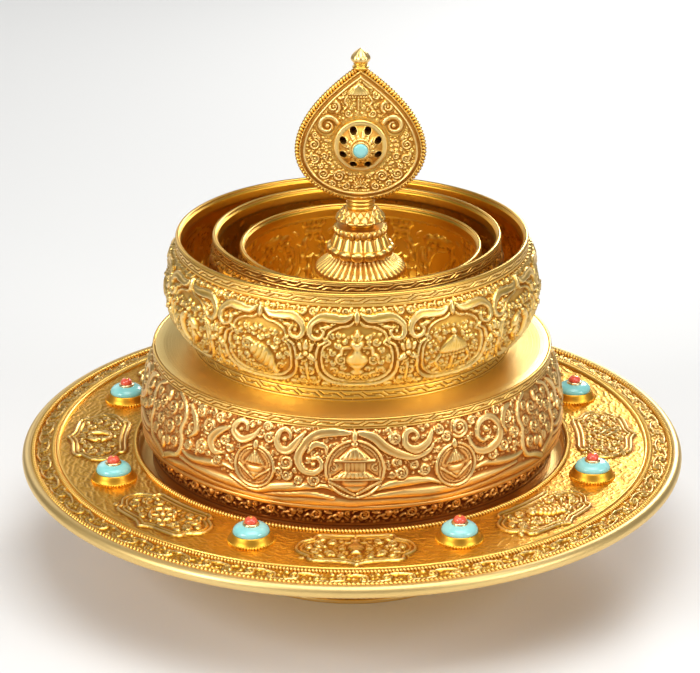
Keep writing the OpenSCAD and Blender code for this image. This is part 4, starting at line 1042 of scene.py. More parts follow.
def turned(name, front, back, steps, work=None, at=0.0, first=None, last=None, swell=None):
    """A shell turned about an upright axis: a front that may carry chased work and a plain back, closed
    into a loop. Where the profile starts and ends on the axis it isn't closed. first and last bound the
    rows that are worked."""
    front, back = np.asarray(front, float), np.asarray(back, float).reshape(-1, 2)
    along = np.concatenate([[0], np.cumsum(np.hypot(*np.diff(front, axis=0).T))])
    profile = np.concatenate([front, back])
    facing = np.concatenate([outward(front), np.zeros_like(back)])
    open_ends = abs(profile[0, 0]) < 1e-6 and abs(profile[-1, 0]) < 1e-6
    rows = len(profile) - 1 if open_ends else len(profile)

    def place(col, row):
        row = row % len(profile)
        turn = FRONT + 360.0 * (col % steps) / steps
        r, z = profile[row].T
        over = np.zeros(len(row))
        if work is not None:
            y = along[np.minimum(row, len(front) - 1)] - (along[first] if first else 0.0)
            high, over = work.at(turn, y)
            end = len(front) - 1 if last is None else last
            worked = (row >= (first or 0)) & (row <= end)
            high, over = np.where(worked, high, 0.0), np.where(worked, over, 0.0)
            r, z = r + high * facing[row, 0], z + high * facing[row, 1]
        if swell is not None:
            r = r * swell(np.radians(turn), z)
        t = np.radians(turn)
        return np.stack([at + r * np.cos(t), r * np.sin(t), z], 1), over

    return wrapped_grid(name, steps, rows, place)


def ring_of(profile, count):
    """Points of a round or oval section: centre r and z, half width and half height."""
    r, z, w, h = profile
    turn = np.linspace(0, 2 * math.pi, count, endpoint=False)
    return np.stack([r + w * np.cos(turn), z + h * np.sin(turn)], 1)


def milled_wire(name, r, z, w, h, teeth, waist, per_tooth=5, section=8):
    """A round wire, w wide and h high, milled into teeth by cuts that slant like a rope's."""
    steps = teeth * per_tooth

    def place(col, row):
        turn = math.radians(FRONT) + 2 * math.pi * (col % steps) / steps
        around = 2 * math.pi * (row % section) / section
        part = np.mod((col % steps) / per_tooth + around / (2 * math.pi), 1.0)
        size = 1 - (1 - waist) * np.exp(-(np.minimum(part, 1 - part) / 0.17) ** 2)
        out, up = r + w / 2 * size * np.cos(around), z + h / 2 * size * np.sin(around)
        # the cuts between the teeth get a low chase value, which the gilt finish darkens, partly as patina
        # and partly as painted shade
        return np.stack([out * np.cos(turn), out * np.sin(turn), up], 1), (size - 0.86) * 1.2

    return wrapped_grid(name, steps, section, place)


def settle(piece, body, slot, finish, *nodes):
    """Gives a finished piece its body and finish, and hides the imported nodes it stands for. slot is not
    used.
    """
    piece.data.materials.clear()
    piece.data.materials.append(finish)
    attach(piece, body)
    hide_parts(*nodes)
    return piece


def keep(node, finish):
    """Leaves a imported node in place, with a finish in each of its slots."""
    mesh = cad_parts[node].data
    if not mesh.materials:
        mesh.materials.append(finish)
    for index in range(len(mesh.materials)):
        mesh.materials[index] = finish


class Strand:
    """A socket of a finish that takes part in Python sums."""

    def __init__(self, finish, socket):
        self.finish = finish
        self.socket = socket

    def sum(self, operation, *values, clamp=False):
        return self.finish.node("ShaderNodeMath", {"operation": operation, "use_clamp": clamp},
                                dict(enumerate(values)))

    def __add__(self, other):
        return self.sum("ADD", self, other)

    def __radd__(self, other):
        return self.sum("ADD", other, self)

    def __sub__(self, other):
        return self.sum("SUBTRACT", self, other)

    def __rsub__(self, other):
        return self.sum("SUBTRACT", other, self)

    def __mul__(self, other):
        return self.sum("MULTIPLY", self, other)

    def __pow__(self, other):
        return self.sum("POWER", self, other)

    def clipped(self):
        """The value, held between 0 and 1."""
        return self.sum("ADD", self, 0.0, clamp=True)


class Finish:
    """A material under one shader, built from expressions."""

    def __init__(self, name):
        self.material = bpy.data.materials.new(name)
        self.material.use_nodes = True
        self.tree = self.material.node_tree
        self.shader = next(n for n in self.tree.nodes if n.type == "BSDF_PRINCIPLED")
        self.place = self.node("ShaderNodeTexCoord", output="Object")

    def node(self, kind, settings=None, sockets=None, output=0):
        """Adds any node: its settings, then the values or links of its sockets. Gives one of its outputs."""
        node = self.tree.nodes.new(kind)
        for key, value in (settings or {}).items():
            setattr(node, key, value)
        for key, value in (sockets or {}).items():
            self.feed(node.inputs[key], value)
        return Strand(self, node.outputs[output])

    def feed(self, socket, value):
        """Links a strand to a socket, or sets a plain value on it."""
        if isinstance(value, Strand):
            self.tree.links.new(value.socket, socket)
        elif socket.type == "RGBA" and len(tuple(value)) == 3:
            socket.default_value = (*value, 1.0)
        else:
            socket.default_value = value

    def blend(self, mask, a, b):
        """One colour over another, by a mask."""
        node = self.tree.nodes.new("ShaderNodeMix")
        node.data_type = "RGBA"
        for socket, value in ((node.inputs[0], mask), (node.inputs[6], a), (node.inputs[7], b)):
            self.feed(socket, value)
        return Strand(self, node.outputs[2])

    def noise(self, scale, detail=3.0, rough=0.5, stretch=None):
        """Noise on the piece's own coordinates, with its scale in cells to the metre."""
        vector = self.place
        if stretch:
            vector = self.node("ShaderNodeMapping", {}, {"Vector": self.place, "Scale": stretch})
        return self.node("ShaderNodeTexNoise", {},
                         {"Vector": vector, "Scale": scale, "Detail": detail, "Roughness": rough})

    def bump(self, height, strength, distance, normal=None):
        """A bump of some height in metres."""
        sockets = {"Height": height, "Strength": strength, "Distance": distance}
        if normal is not None:
            sockets["Normal"] = normal
        return self.node("ShaderNodeBump", {}, sockets)

    def surface(self, **sockets):
        """Feeds the shader's sockets and gives the material."""
        for key, value in sockets.items():
            self.feed(self.shader.inputs[key.replace("_", " ").title()], value)
        return self.material


def worked_gilt(name, mid, pale, deep, gloss, dull, ground=None, engraved=0.0):
    """Gilt metal, rubbed bright on the work's crests and darkened in its hollows, partly as toned patina and
    partly as painted shade; engraved adds fine tooling.
    """
    f = Finish(name)
    over = f.node("ShaderNodeAttribute", {"attribute_name": "chase"}, output="Fac")
    cloud = f.noise(28.0, 3.0)
    grain = f.noise(420.0, 3.0, 0.6)
    # hollow: where the work sinks below its surroundings the colour goes to the deep colour, partly patina
    # and partly painted shade
    hollow = (over * -2.6 + (cloud - 0.5) * 0.5 + 0.02).clipped() ** 0.8
    crest = (over * 2.3 + (grain - 0.5) * 0.25 - 0.06).clipped()
    tone = f.blend((cloud - 0.38).clipped() * 1.1, mid, tuple(0.86 * c for c in mid[:2]) + (0.7 * mid[2],))
    tone = f.blend(crest * 0.85, tone, pale)
    tone = f.blend(hollow, tone, deep)
    # ground: a darker colour laid where the work is low; on the fringe it is partly patina and partly painted
    # shade
    if ground is not None:
        tone = f.blend((0.25 - over * 3.0).clipped(), tone, ground)
    rough = (gloss + hollow * (dull - gloss) + (grain - 0.5) * 0.10 + (cloud - 0.5) * 0.12).clipped()
    normal = f.bump(grain, 0.12, 0.0003)
    if engraved:
        normal = f.bump(f.noise(1300.0, 2.0, 0.6), engraved, 0.0004, normal)
    return f.surface(base_color=tone, metallic=1.0, roughness=rough, normal=normal)


def plain_gilt(name, mid, gloss, rings=0.0):
    """Plain gilt, with wear in soft clouds; rings adds the fine lines of a lathe about the upright axis."""
    f = Finish(name)
    cloud = f.noise(24.0, 4.0)
    grain = f.noise(520.0, 2.0)
    tone = f.blend((cloud - 0.35).clipped() * 1.2, mid, tuple(c * k for c, k in zip(mid, (0.90, 0.82, 0.62))))
    rough = (gloss + (cloud - 0.5) * 0.12 + (grain - 0.5) * 0.08).clipped()
    height = grain * 0.4
    if rings:
        spot = f.node("ShaderNodeVectorMath", {"operation": "MULTIPLY"}, {0: f.place, 1: (1.0, 1.0, 0.0)})
        radius = f.node("ShaderNodeVectorMath", {"operation": "LENGTH"}, {0: spot}, output="Value")
        line = f.node("ShaderNodeTexNoise", {"noise_dimensions": "1D"},
                      {"W": radius * 2600.0, "Scale": 1.0, "Detail": 3.0})
        broad = f.node("ShaderNodeTexNoise", {"noise_dimensions": "1D"},
                       {"W": radius * 170.0, "Scale": 1.0, "Detail": 1.0})
        height = line + broad * 0.6
        tone = f.blend((line - 0.5).clipped() * 0.5, tone, tuple(0.82 * c for c in mid))
        rough = (rough + (line - 0.5) * rings * 0.5).clipped()
    return f.surface(base_color=tone, metallic=1.0, roughness=rough,
                     normal=f.bump(height, 0.18 + 0.3 * rings, 0.0003))


def turquoise_finish(tint):
    """Polished turquoise: pale clouds and a faint matrix under a wax polish."""
    f = Finish("turquoise_polished")
    cloud = f.noise(140.0, 4.0)
    each = f.noise(11.0, 0.0)
    cells = f.node("ShaderNodeTexVoronoi", {"feature": "DISTANCE_TO_EDGE"},
                   {"Vector": f.place, "Scale": 210.0}, output="Distance")
    tone = f.blend((cloud * 1.7 - 0.45 + (each - 0.5) * 0.8).clipped(), tuple(tint.turquoise),
                   tuple(tint.turquoise_pale))
    veins = (1.0 - cells * 16.0).clipped() * (cloud * 2.2 - 0.95).clipped() * 0.55
    tone = f.blend(veins, tone, tuple(tint.matrix))
    return f.surface(base_color=tone, roughness=0.24 + veins * 0.3, coat_weight=0.35, coat_roughness=0.12,
                     normal=f.bump(cloud, 0.10, 0.0004))


def coral_finish(tint):
    """Polished coral, a little clouded, with fine growth lines."""
    f = Finish("coral_polished")
    cloud = f.noise(260.0, 4.0)
    lines = f.noise(900.0, 2.0, 0.5, (1.0, 1.0, 0.25))
    tone = f.blend((cloud * 1.6 - 0.5).clipped() * 0.6, tuple(tint.coral), tuple(tint.coral_pale))
    tone = f.blend((lines - 0.5).clipped() * 0.5, tone, tuple(0.6 * c for c in tint.coral))
    return f.surface(base_color=tone, roughness=0.22 + (lines - 0.5) * 0.1, coat_weight=0.4,
                     coat_roughness=0.1, normal=f.bump(lines, 0.08, 0.0003))


def floor_finish(tint):
    """A plain matt floor, very faintly uneven in tone."""
    f = Finish("floor_pale")
    cloud = f.noise(1.5, 2.0)
    tone = f.blend(cloud * 0.2, tuple(tint.floor), tuple(0.97 * c for c in tint.floor))
    return f.surface(base_color=tone, roughness=0.8)


def all_finishes(tint):
    """Every finish of the plate, by name, made once."""
    if not FINISHES:
        gilt, pale, deep = tuple(tint.gilt), tuple(tint.gilt_pale), tuple(tint.gilt_patina_and_shade)
        orange = tuple(tint.gilt_orange)
        FINISHES.update(chased=worked_gilt("gilt_chased", gilt, pale, deep, tint.gloss, tint.dull),
                        deck=worked_gilt("gilt_deck", orange, pale, tuple(tint.deck_patina_and_shade), tint.gloss,
                                         tint.dull, engraved=0.35),
                        leaf=worked_gilt("gilt_leaf", tuple(tint.leaf), pale, tuple(tint.leaf_patina_and_shade),
                                         tint.gloss, tint.dull),
                        lining=worked_gilt("gilt_lining", tuple(tint.lining), gilt, tuple(tint.deck_patina_and_shade),
                                           tint.gloss, tint.dull),
                        # painted shade: the small ring's lining is a darker copy of the lining, 0.8 of its
                        # colour and 0.9 of the gilt on its crests
                        lining_small=worked_gilt("gilt_lining_small", tuple(0.8 * c for c in tint.lining),
                                                 tuple(0.9 * c for c in gilt), tuple(tint.deck_patina_and_shade),
                                                 tint.gloss, tint.dull),
                        rose=worked_gilt("gilt_rose_chased", tuple(tint.rose), pale, tuple(tint.rose_patina_and_shade),
                                         tint.gloss, tint.dull),
                        # the fringe finish: darker crests and ground, partly patina and partly painted shade
                        # under the belly
                        fringe=worked_gilt("gilt_fringe_patina_and_shade", tuple(tint.fringe_crest), tuple(tint.rose),
                                           tuple(tint.rose_patina_and_shade), tint.gloss + 0.06, tint.dull,
                                           tuple(tint.fringe)),
                        plain=plain_gilt("gilt_plain", gilt, tint.gloss - 0.04),
                        pale=plain_gilt("gilt_pale", pale, tint.gloss),
                        rim=plain_gilt("gilt_rim", tuple(0.84 * c for c in pale), tint.gloss + 0.08),
                        cup=plain_gilt("gilt_cup", orange, tint.gloss + 0.06),
                        plate=plain_gilt("gilt_brushed", tuple(tint.polish), 0.40, 0.3),
                        # the backing's near-black finish is painted shade seen through the wheel's openings
                        backing=plain_gilt("gilt_dark", tuple(tint.backing), 0.55),
                        silver=plain_gilt("silver_collar", tuple(tint.silver), 0.28),
                        turquoise=turquoise_finish(tint), coral=coral_finish(tint))
    return FINISHES


FINISHES = {}


class OFFERING_OT_stage(bpy.types.Operator):
    """Adds the pale floor, the soft lamps and the camera"""
    bl_idname = "offering_plate.stage"
    bl_label = "Stage"

    def execute(self, context):
        tint = context.scene.plate_finishes
        drop_selection()
        bpy.ops.mesh.primitive_plane_add(size=12.0)
        floor = context.object
        floor.name = "floor"
        floor.data.materials.append(floor_finish(tint))
        world = bpy.data.worlds.new("studio")
        world.use_nodes = True
        world.node_tree.nodes["Background"].inputs["Color"].default_value = (1.0, 0.98, 0.95, 1.0)
        world.node_tree.nodes["Background"].inputs["Strength"].default_value = 0.20
        context.scene.world = world
        for name, place, aim, size, watts in (
                ("back_lamp", (0.46, 1.15, 0.62), (0.05, 0.0, 0.10), 0.30, 6.8),
                ("back_left_lamp", (-0.60, 1.20, 0.62), (0.0, 0.0, 0.10), 0.70, 1.8),
                ("left_lamp", (-0.95, -0.75, 0.75), (0.0, 0.0, 0.12), 0.55, 10.0),
                ("right_lamp", (1.00, -0.70, 0.65), (0.0, 0.0, 0.10), 0.50, 5.8),
                ("top_lamp", (0.10, -0.35, 1.25), (0.0, 0.0, 0.10), 0.90, 11.5)):
            bpy.ops.object.light_add(type="AREA", location=place)
            lamp = context.object
            lamp.name = lamp.data.name = name
            lamp.data.energy, lamp.data.size = watts, size
            lamp.rotation_euler = (Vector(aim) - Vector(place)).to_track_quat("-Z", "Y").to_euler()
        bpy.ops.object.camera_add(location=CAMERA_AT, rotation=(math.radians(90 - CAMERA_DOWN), 0.0, 0.0))
        camera = context.object
        camera.name = "camera"
        camera.data.lens, camera.data.sensor_width, camera.data.shift_x = LENS, SENSOR, CAMERA_SHIFT
        camera.data.clip_end = 50.0
        context.scene.camera = camera
        context.scene.view_settings.view_transform = "Standard"
        return {"FINISHED"}


class OFFERING_OT_tray(bpy.types.Operator):
    """Builds the tray: well, chased deck, vine border, rolled rim, bead wires and foot"""
    bl_idname = "offering_plate.tray"
    bl_label = "Tray"

    def execute(self, context):
        size, look = context.scene.plate_tray, all_finishes(context.scene.plate_finishes)
        deck, floor, sheet = size.deck_z / MM, size.floor_z / MM, size.sheet / MM
        well, inner, ridge = size.well_r / MM, size.inner_wire_r / MM, size.ridge_wire_r / MM
        middle, border, dish = size.middle_wire_r / MM, size.border_r / MM, size.dish_r / MM
        outer = size.outer_wire_r / MM
        # the well that the base stands in
        top = spaced([(inner - 0.1, deck), (well + 0.5, deck), (well + 0.1, deck - 0.1), (well, deck - 0.5),
                      (well, floor + 1.0), (well - 0.3, floor + 0.3), (well - 1.0, floor), (0, floor)], 6.0)
        under = spaced([(0, floor - sheet), (well + sheet, floor - sheet), (well + sheet, deck - sheet),
                        (inner - 0.1, deck - sheet)], 8.0)
        settle(turned("tray_well", top, under, 192), "tray", "gilt", look["plate"], "tray_dish")
        # the deck, worked from its outer edge in
        high, low = ridge - 0.3, inner + 1.4
        front = np.concatenate([[(middle - 0.8, deck)], even([(high, deck), (low, deck)], 0.56),
                                [(inner - 0.1, deck)]])
        back = [(inner - 0.1, deck - sheet), (middle - 0.8, deck - sheet)]
        circle = math.pi * (high + low)
        start = FRONT + math.degrees(size.turn) - 180 / size.cartouches
        work = Work(deck_sheet(circle / size.cartouches, high - low, size.cartouches), start, 1.1, tone=1.2)
        piece = turned("tray_deck", front, back, 1320, work, first=1, last=len(front) - 2)
        settle(piece, "tray", "gilt", look["deck"], "tray_dish")
        # the border falls away to the rim
        fall = 2.0 / (dish - border)
        slope = [(r, deck - fall * max(0.0, r - border)) for r in (dish - 1.9, border + 0.1)]
        front = np.concatenate([[(dish, deck - fall * (dish - border))], even(slope, 0.5),
                                [(middle - 0.8, deck)]])
        back = [(middle - 0.8, deck - sheet), (border, deck - sheet), (dish, deck - 2.0 - sheet)]
        wide = dish - 1.9 - border
        unit = math.pi * (2 * border + wide) / size.vine_waves
        work = Work(vine_border(size.vine_waves, unit, math.hypot(wide, 2.0 * wide / (dish - border))), FRONT)
        piece = turned("tray_border", front, back, 1500, work, first=1, last=len(front) - 2)
        settle(piece, "tray", "gilt", look["deck"], "tray_dish")
        # the rolled rim
        roll = size.roll_d / 2 / MM
        rim = size.rim_r / MM - roll
        settle(turned("tray_rim", ring_of((rim, deck - roll, roll, roll), 28)[::-1], [], 320), "tray", "gilt",
               look["rim"], "tray_rim_roll")
        # milled wires and the plain ridge between them
        for name, r, beads, z, thick, node in (
                ("tray_inner_beads", inner, size.inner_beads, deck + 0.5, 2.4, "tray_inner_bead_wire"),
                ("tray_middle_beads", middle, size.middle_beads, deck + 0.4, 2.2, "tray_middle_bead_wire"),
                ("tray_outer_beads", outer + 0.4, size.outer_beads, deck - 0.7, 2.8, "tray_outer_bead_wire")):
            settle(milled_wire(name, r, z, 2.8, thick, beads, 0.4), "tray", "gilt", look["chased"], node)
        settle(turned("tray_ridge", ring_of((ridge, deck + 0.35, 0.9, 1.1), 10), [], 360), "tray", "gilt",
               look["plain"], "tray_ridge_wire")
        # the trumpet foot, its ring and the rope above it
        foot = size.foot_r / MM
        t = np.linspace(0, 1, 40)
        r = np.where(t < 0.5, 54 + (foot - 2.6 - 54) * (1 - 2 * t) ** 2, 54 + 20 * (2 * t - 1) ** 2)
        outside = np.stack([r, 2 + (floor - sheet - 2) * t], 1)
        settle(turned("tray_stem", outside, outside[::-1] - (sheet, 0), 160), "tray", "gilt", look["plain"],
               "tray_foot")
        flange = spaced([(foot - 8, 0), (foot - 0.4, 0), (foot, 0.4), (foot, 1.5), (foot - 0.5, 2.0),
                         (foot - 8, 2.0)], 2.0)
        # the foot ring takes the pale gilt, partly its own paler gilt and partly painted light for the light
        # that falls on it under the rim
        settle(turned("tray_foot_flange", flange, [], 320), "tray", "gilt", look["pale"], "tray_foot_ring")
        settle(milled_wire("tray_rope", foot - 1.45, 3.25, 2.5, 2.6, 150, 0.6, 6, 10), "tray", "gilt",
               look["chased"], "tray_rope_wire")
        return {"FINISHED"}


class OFFERING_OT_stones(bpy.types.Operator):
    """Sets the stones on the deck: a cup, a turquoise, a pale collar and a coral on its pin, eight times"""
    bl_idname = "offering_plate.stones"
    bl_label = "Stones"

    def execute(self, context):
        size, look = context.scene.plate_tray, all_finishes(context.scene.plate_finishes)
        deck, circle = size.deck_z / MM, size.stone_r / MM
        swell = np.radians(np.linspace(-60, 74, 18))
        stone = np.stack([8.3 * np.cos(swell) ** 0.62, 4.75 + 3.4 * np.sin(swell)], 1)
        stone = np.concatenate([[(0, stone[0, 1])], stone, [(3.3, 8.0), (2.9, 7.5), (2.6, 7.3), (0, 7.2)]])
        cup = [(1.1, 0), (10.8, 0), (10.9, 0.15), (10.9, 0.95), (10.7, 1.15), (10.25, 1.2), (10.1, 1.35),
               (8.95, 4.25), (8.8, 4.5), (8.5, 4.6), (8.25, 4.4), (7.8, 2.4), (6.8, 1.6), (1.1, 1.4)]
        collar = [(1.1, 7.4), (3.5, 7.4), (3.75, 7.8), (3.8, 8.5), (3.5, 8.95), (3.0, 9.1), (1.1, 9.1)]
        quarter = np.radians(np.linspace(0, 90, 10))
        coral = np.stack([3.0 * np.cos(quarter) ** 0.7, 9.2 + 2.4 * np.sin(quarter)], 1)
        coral = np.concatenate([[(0, 9.0), (2.8, 9.0)], coral])
        coral[-1] = (0, 11.7)
        pin = [(0, 11.2), (0.7, 11.2), (0.8, 11.5), (0.5, 11.8), (0, 11.85)]
        shuffle = np.random.default_rng(12)
        for k in range(size.stones):
            turn = math.radians(FRONT + 360 * (k + 0.5) / size.stones) + size.turn
            spot = (circle * math.cos(turn), circle * math.sin(turn), deck)
            lump = shuffle.uniform(0, 6.28, 3)

            def uneven(a, z, lump=lump):
                return 1 + 0.012 * np.sin(2 * a + lump[0] + 0.3 * z) + 0.008 * np.sin(3 * a + lump[1]) - 0.012

            def milled(a, z):
                return np.where(z < 1.18, 1 - 0.026 * (1 - np.cos(48 * a)), 1.0)

            for name, profile, steps, shape, slot, finish, node in (
                    ("stone_cup", spaced(cup, 2.4), 192, milled, "gilt", "cup", "stone_collets"),
                    ("turquoise", stone, 56, uneven, "turquoise", "turquoise", "turquoise_beads"),
                    ("coral_collar", collar, 48, None, "silver", "silver", "coral_collars"),
                    ("coral", coral, 36, uneven, "coral", "coral", "coral_beads"),
                    ("stone_pin", pin, 16, None, "gilt", "plain", "stone_pins")):
                piece = turned("%s_%d" % (name, k + 1), profile, [], steps, swell=shape)
                piece.data.transform(Matrix.Translation(Vector(spot) * MM))
                if name != "turquoise":
                    bpy.ops.object.shade_smooth_by_angle(angle=math.radians(50))
                settle(piece, "tray", slot, look[finish], node)
        return {"FINISHED"}


class OFFERING_OT_base(bpy.types.Operator):
    """Builds the drum base: chased wall, fringe, bead wire, fret band and brushed plate"""
    bl_idname = "offering_plate.base"
    bl_label = "Drum base"

    def execute(self, context):
        size, look = context.scene.plate_base, all_finishes(context.scene.plate_finishes)
        floor = context.scene.plate_tray.floor_z / MM
        plate, plate_z, belly = size.plate_r / MM, size.plate_z / MM, size.belly_r / MM
        low, high = size.wall_low_z / MM, size.wall_top_z / MM
        fringe, fringe_z = size.fringe_r / MM, size.fringe_top_z / MM
        t = np.linspace(0, 1, 200)
        bow = np.stack([plate + (belly - plate) * np.cos(0.5 * math.pi * t) ** 0.75,
                        low + (high - low) * t], 1)
        front = even(bow, 0.53)
        long = 0.53 * (len(front) - 1)
        third = 2 * math.pi * (belly - 1.6) / size.repeats
        work = Work(base_sheet(third, long).copies(size.repeats), FRONT - 180 / size.repeats, 0.85, tone=1.2)
        inside = even(bow[::-1] - (1.2, 0), 6.0)
        inside[:, 0] = np.minimum(inside[:, 0], belly - 2.6)
        settle(turned("base_belly", front, inside, 1100, work), "base", "gilt_rose", look["rose"],
               "base_wall")
        # fringe over the wall's straight foot; it and its bead wire take the darker fringe finish, partly
        # patina and partly painted shade
        front = np.concatenate([spaced([(fringe - 1.0, floor), (fringe - 1.0, floor + 4.4)], 2.2),
                                even([(fringe - 1.0, floor + 4.9), (fringe - 1.0, fringe_z + 2.0)], 0.5)])
        unit = 2 * math.pi * fringe / size.fringe_scrolls
        work = Work(fringe_sheet(size.fringe_scrolls, unit, front[-1, 1] - floor), FRONT)
        piece = turned("base_fringe_band", front, [(fringe - 2.2, fringe_z + 2.0), (fringe - 2.2, floor)],
                       1050, work)
        settle(piece, "base", "gilt_rose", look["fringe"], "base_fringe", "base_wall")
        wire = milled_wire("base_beads", fringe - 0.5, fringe_z + 1.15, 2.7, 2.4, size.beads, 0.6)
        settle(wire, "base", "gilt_rose", look["fringe"], "base_bead_wire")
        shoulder = spaced([(fringe - 2.0, fringe_z + 1.4), (belly - 0.4, fringe_z + 1.7),
                           (belly + 0.3, fringe_z + 2.2), (belly + 0.4, low - 0.5), (belly, low + 0.2),
                           (belly - 2.0, low + 0.2)], 0.8)
        settle(turned("base_shoulder", shoulder, [], 320), "base", "gilt_rose", look["rose"], "base_wall")
        # fret band round the plate, and the plate
        front = even([(plate + 0.5, high), (plate + 0.5, plate_z)], 0.26)
        unit = 2 * math.pi * plate / size.fret_units
        fret = running_fret(size.fret_units, unit, plate_z - high, 1, 0.9, 4.1)
        # tone 2.4 deepens the dark in the fret's cut lines, partly patina and partly painted shade
        work = Work(fret, FRONT, reach=0.6, tone=2.4)
        piece = turned("base_fret", front, [(plate - 0.4, plate_z), (plate - 0.4, high)], 1500, work)
        settle(piece, "base", "gilt", look["chased"], "base_fret_band")
        disc = spaced([(plate - 0.5, plate_z - 1.6), (plate + 0.1, plate_z - 0.5), (plate, plate_z - 0.15),
                       (plate - 0.4, plate_z), (0, plate_z)], 5.0)
        disc = np.concatenate([[(0, plate_z - 1.6)], disc])
        settle(turned("base_top", disc, [], 288), "base", "gilt_polished", look["plate"], "base_plate")
        keep("base_stiffener", look["plain"])
        return {"FINISHED"}


class OFFERING_OT_rings(bpy.types.Operator):
    """Builds the three offering rings: the chased wall and its lining, the bands and the rim wire"""
    bl_idname = "offering_plate.rings"
    bl_label = "Offering rings"

    def execute(self, context):
        size, look = context.scene.plate_rings, all_finishes(context.scene.plate_finishes)
        plate_z = context.scene.plate_base.plate_z / MM
        turn = math.degrees(size.turn)
        rim_h, foot_h = size.rim_band_h / MM, size.foot_band_h / MM
        for name, step, bulge, bays, pitch, steps, fine, units, strength in (
                ("large_ring", size.large_step, size.large_bulge, size.large_bays, 0.55, 970, 1500, 48, 1.1),
                ("medium_ring", size.medium_step, size.medium_bulge, size.medium_bays, 0.85, 500, 880, 40,
                 0.8),
                ("small_ring", size.small_step, size.small_bulge, size.small_bays, 0.85, 430, 780, 34, 0.8)):
            at = middle_of(name + "_rim_band") / MM
            rim = reach_of(name + "_rim_band") / MM - size.band_t / MM
            foot = rim - step / MM
            top = top_of(name + "_rim_wire") / MM
            low = plate_z + foot_h
            high = top - size.rim_wire_h / MM - rim_h
            t = np.linspace(0, 1, 240)
            swell = bulge / MM * np.maximum(np.sin(math.pi * t ** size.fullness), 0) ** 0.8
            bow = np.stack([foot + (rim - foot) * t + swell, low + (high - low) * t], 1)
            front = even(bow, pitch)
            along = np.hypot(*np.diff(front, axis=0).T).sum()
            scale = along / TILE_HEIGHT
            tile = ring_sheet(2 * math.pi * (rim + 0.5 * bulge / MM) / bays / scale, TILE_HEIGHT, bays)
            tile.rescale(scale)
            work = Work(tile, FRONT + turn - 180 / bays, strength)
            wall = turned(name + "_belly", front, even(bow[::-1] - (0.3, 0), 6.0), steps, work, at)
            settle(wall, name, "gilt", look["chased"], name + "_wall")
            # the lining: a smooth band under the rim, then the wall's work from behind, softened
            smooth = spaced([(rim - 1.4, high + 4.7), (rim - 1.4, high + 0.5)], 1.5)
            inside = np.concatenate([smooth, even(bow[::-1] - (1.4, 0), 1.0)])
            reverse = tile.copies(1)
            reverse.relief = tile.relief[::-1]
            work = Work(reverse, FRONT + turn - 180 / bays, -1.5, 0.5, tone=0.9)
            lining = turned(name + "_lining", inside, even(bow - (0.36, 0), 6.0), 440, work, at, len(smooth))
            # the small ring's lining takes the darker copy, painted shade for its place deepest inside the
            # rings
            inner = "lining_small" if name == "small_ring" else "lining"
            settle(lining, name, "gilt", look[inner], name + "_wall")
            # bands
            edge = rim + 0.45
            front = even([(edge, high), (edge, high + rim_h)], 0.26)
            back = [(rim - 0.6, high + 5.0), (rim - 1.2, high + 4.8), (rim - 1.25, high - 0.9),
                    (rim - 0.5, high - 1.0)]
            fret = running_fret(units, 2 * math.pi * edge / units, rim_h, 1, 1.3, 4.5)
            # the frets' tone of 2.4 deepens the dark in their cut lines, partly patina and partly painted
            # shade
            band = turned(name + "_rim_fret", front, back, fine, Work(fret, FRONT, reach=0.6, tone=2.4), at)
            settle(band, name, "gilt", look["chased"], name + "_rim_band")
            edge = foot + 0.45
            front = even([(edge, plate_z), (edge, low)], 0.36)
            back = spaced([(foot - 0.6, low + 0.6), (foot - 1.2, low), (foot - 1.25, plate_z)], 3.0)
            fret = running_fret(units, 2 * math.pi * edge / units, foot_h, -1, 1.2, 5.4)
            # the two inner rings' feet stand hidden at rest, so they have fewer columns
            columns = fine if name == "large_ring" else fine * 2 // 3
            band = turned(name + "_foot_fret", front, back, columns, Work(fret, FRONT, reach=0.6, tone=2.4),
                          at)
            settle(band, name, "gilt", look["chased"], name + "_foot_band")
            wire = turned(name + "_lip", ring_of((rim - 0.1, top - 0.6, 0.9, 0.6), 12), [], 320, at=at)
            settle(wire, name, "gilt", look["plain"], name + "_rim_wire")
        return {"FINISHED"}


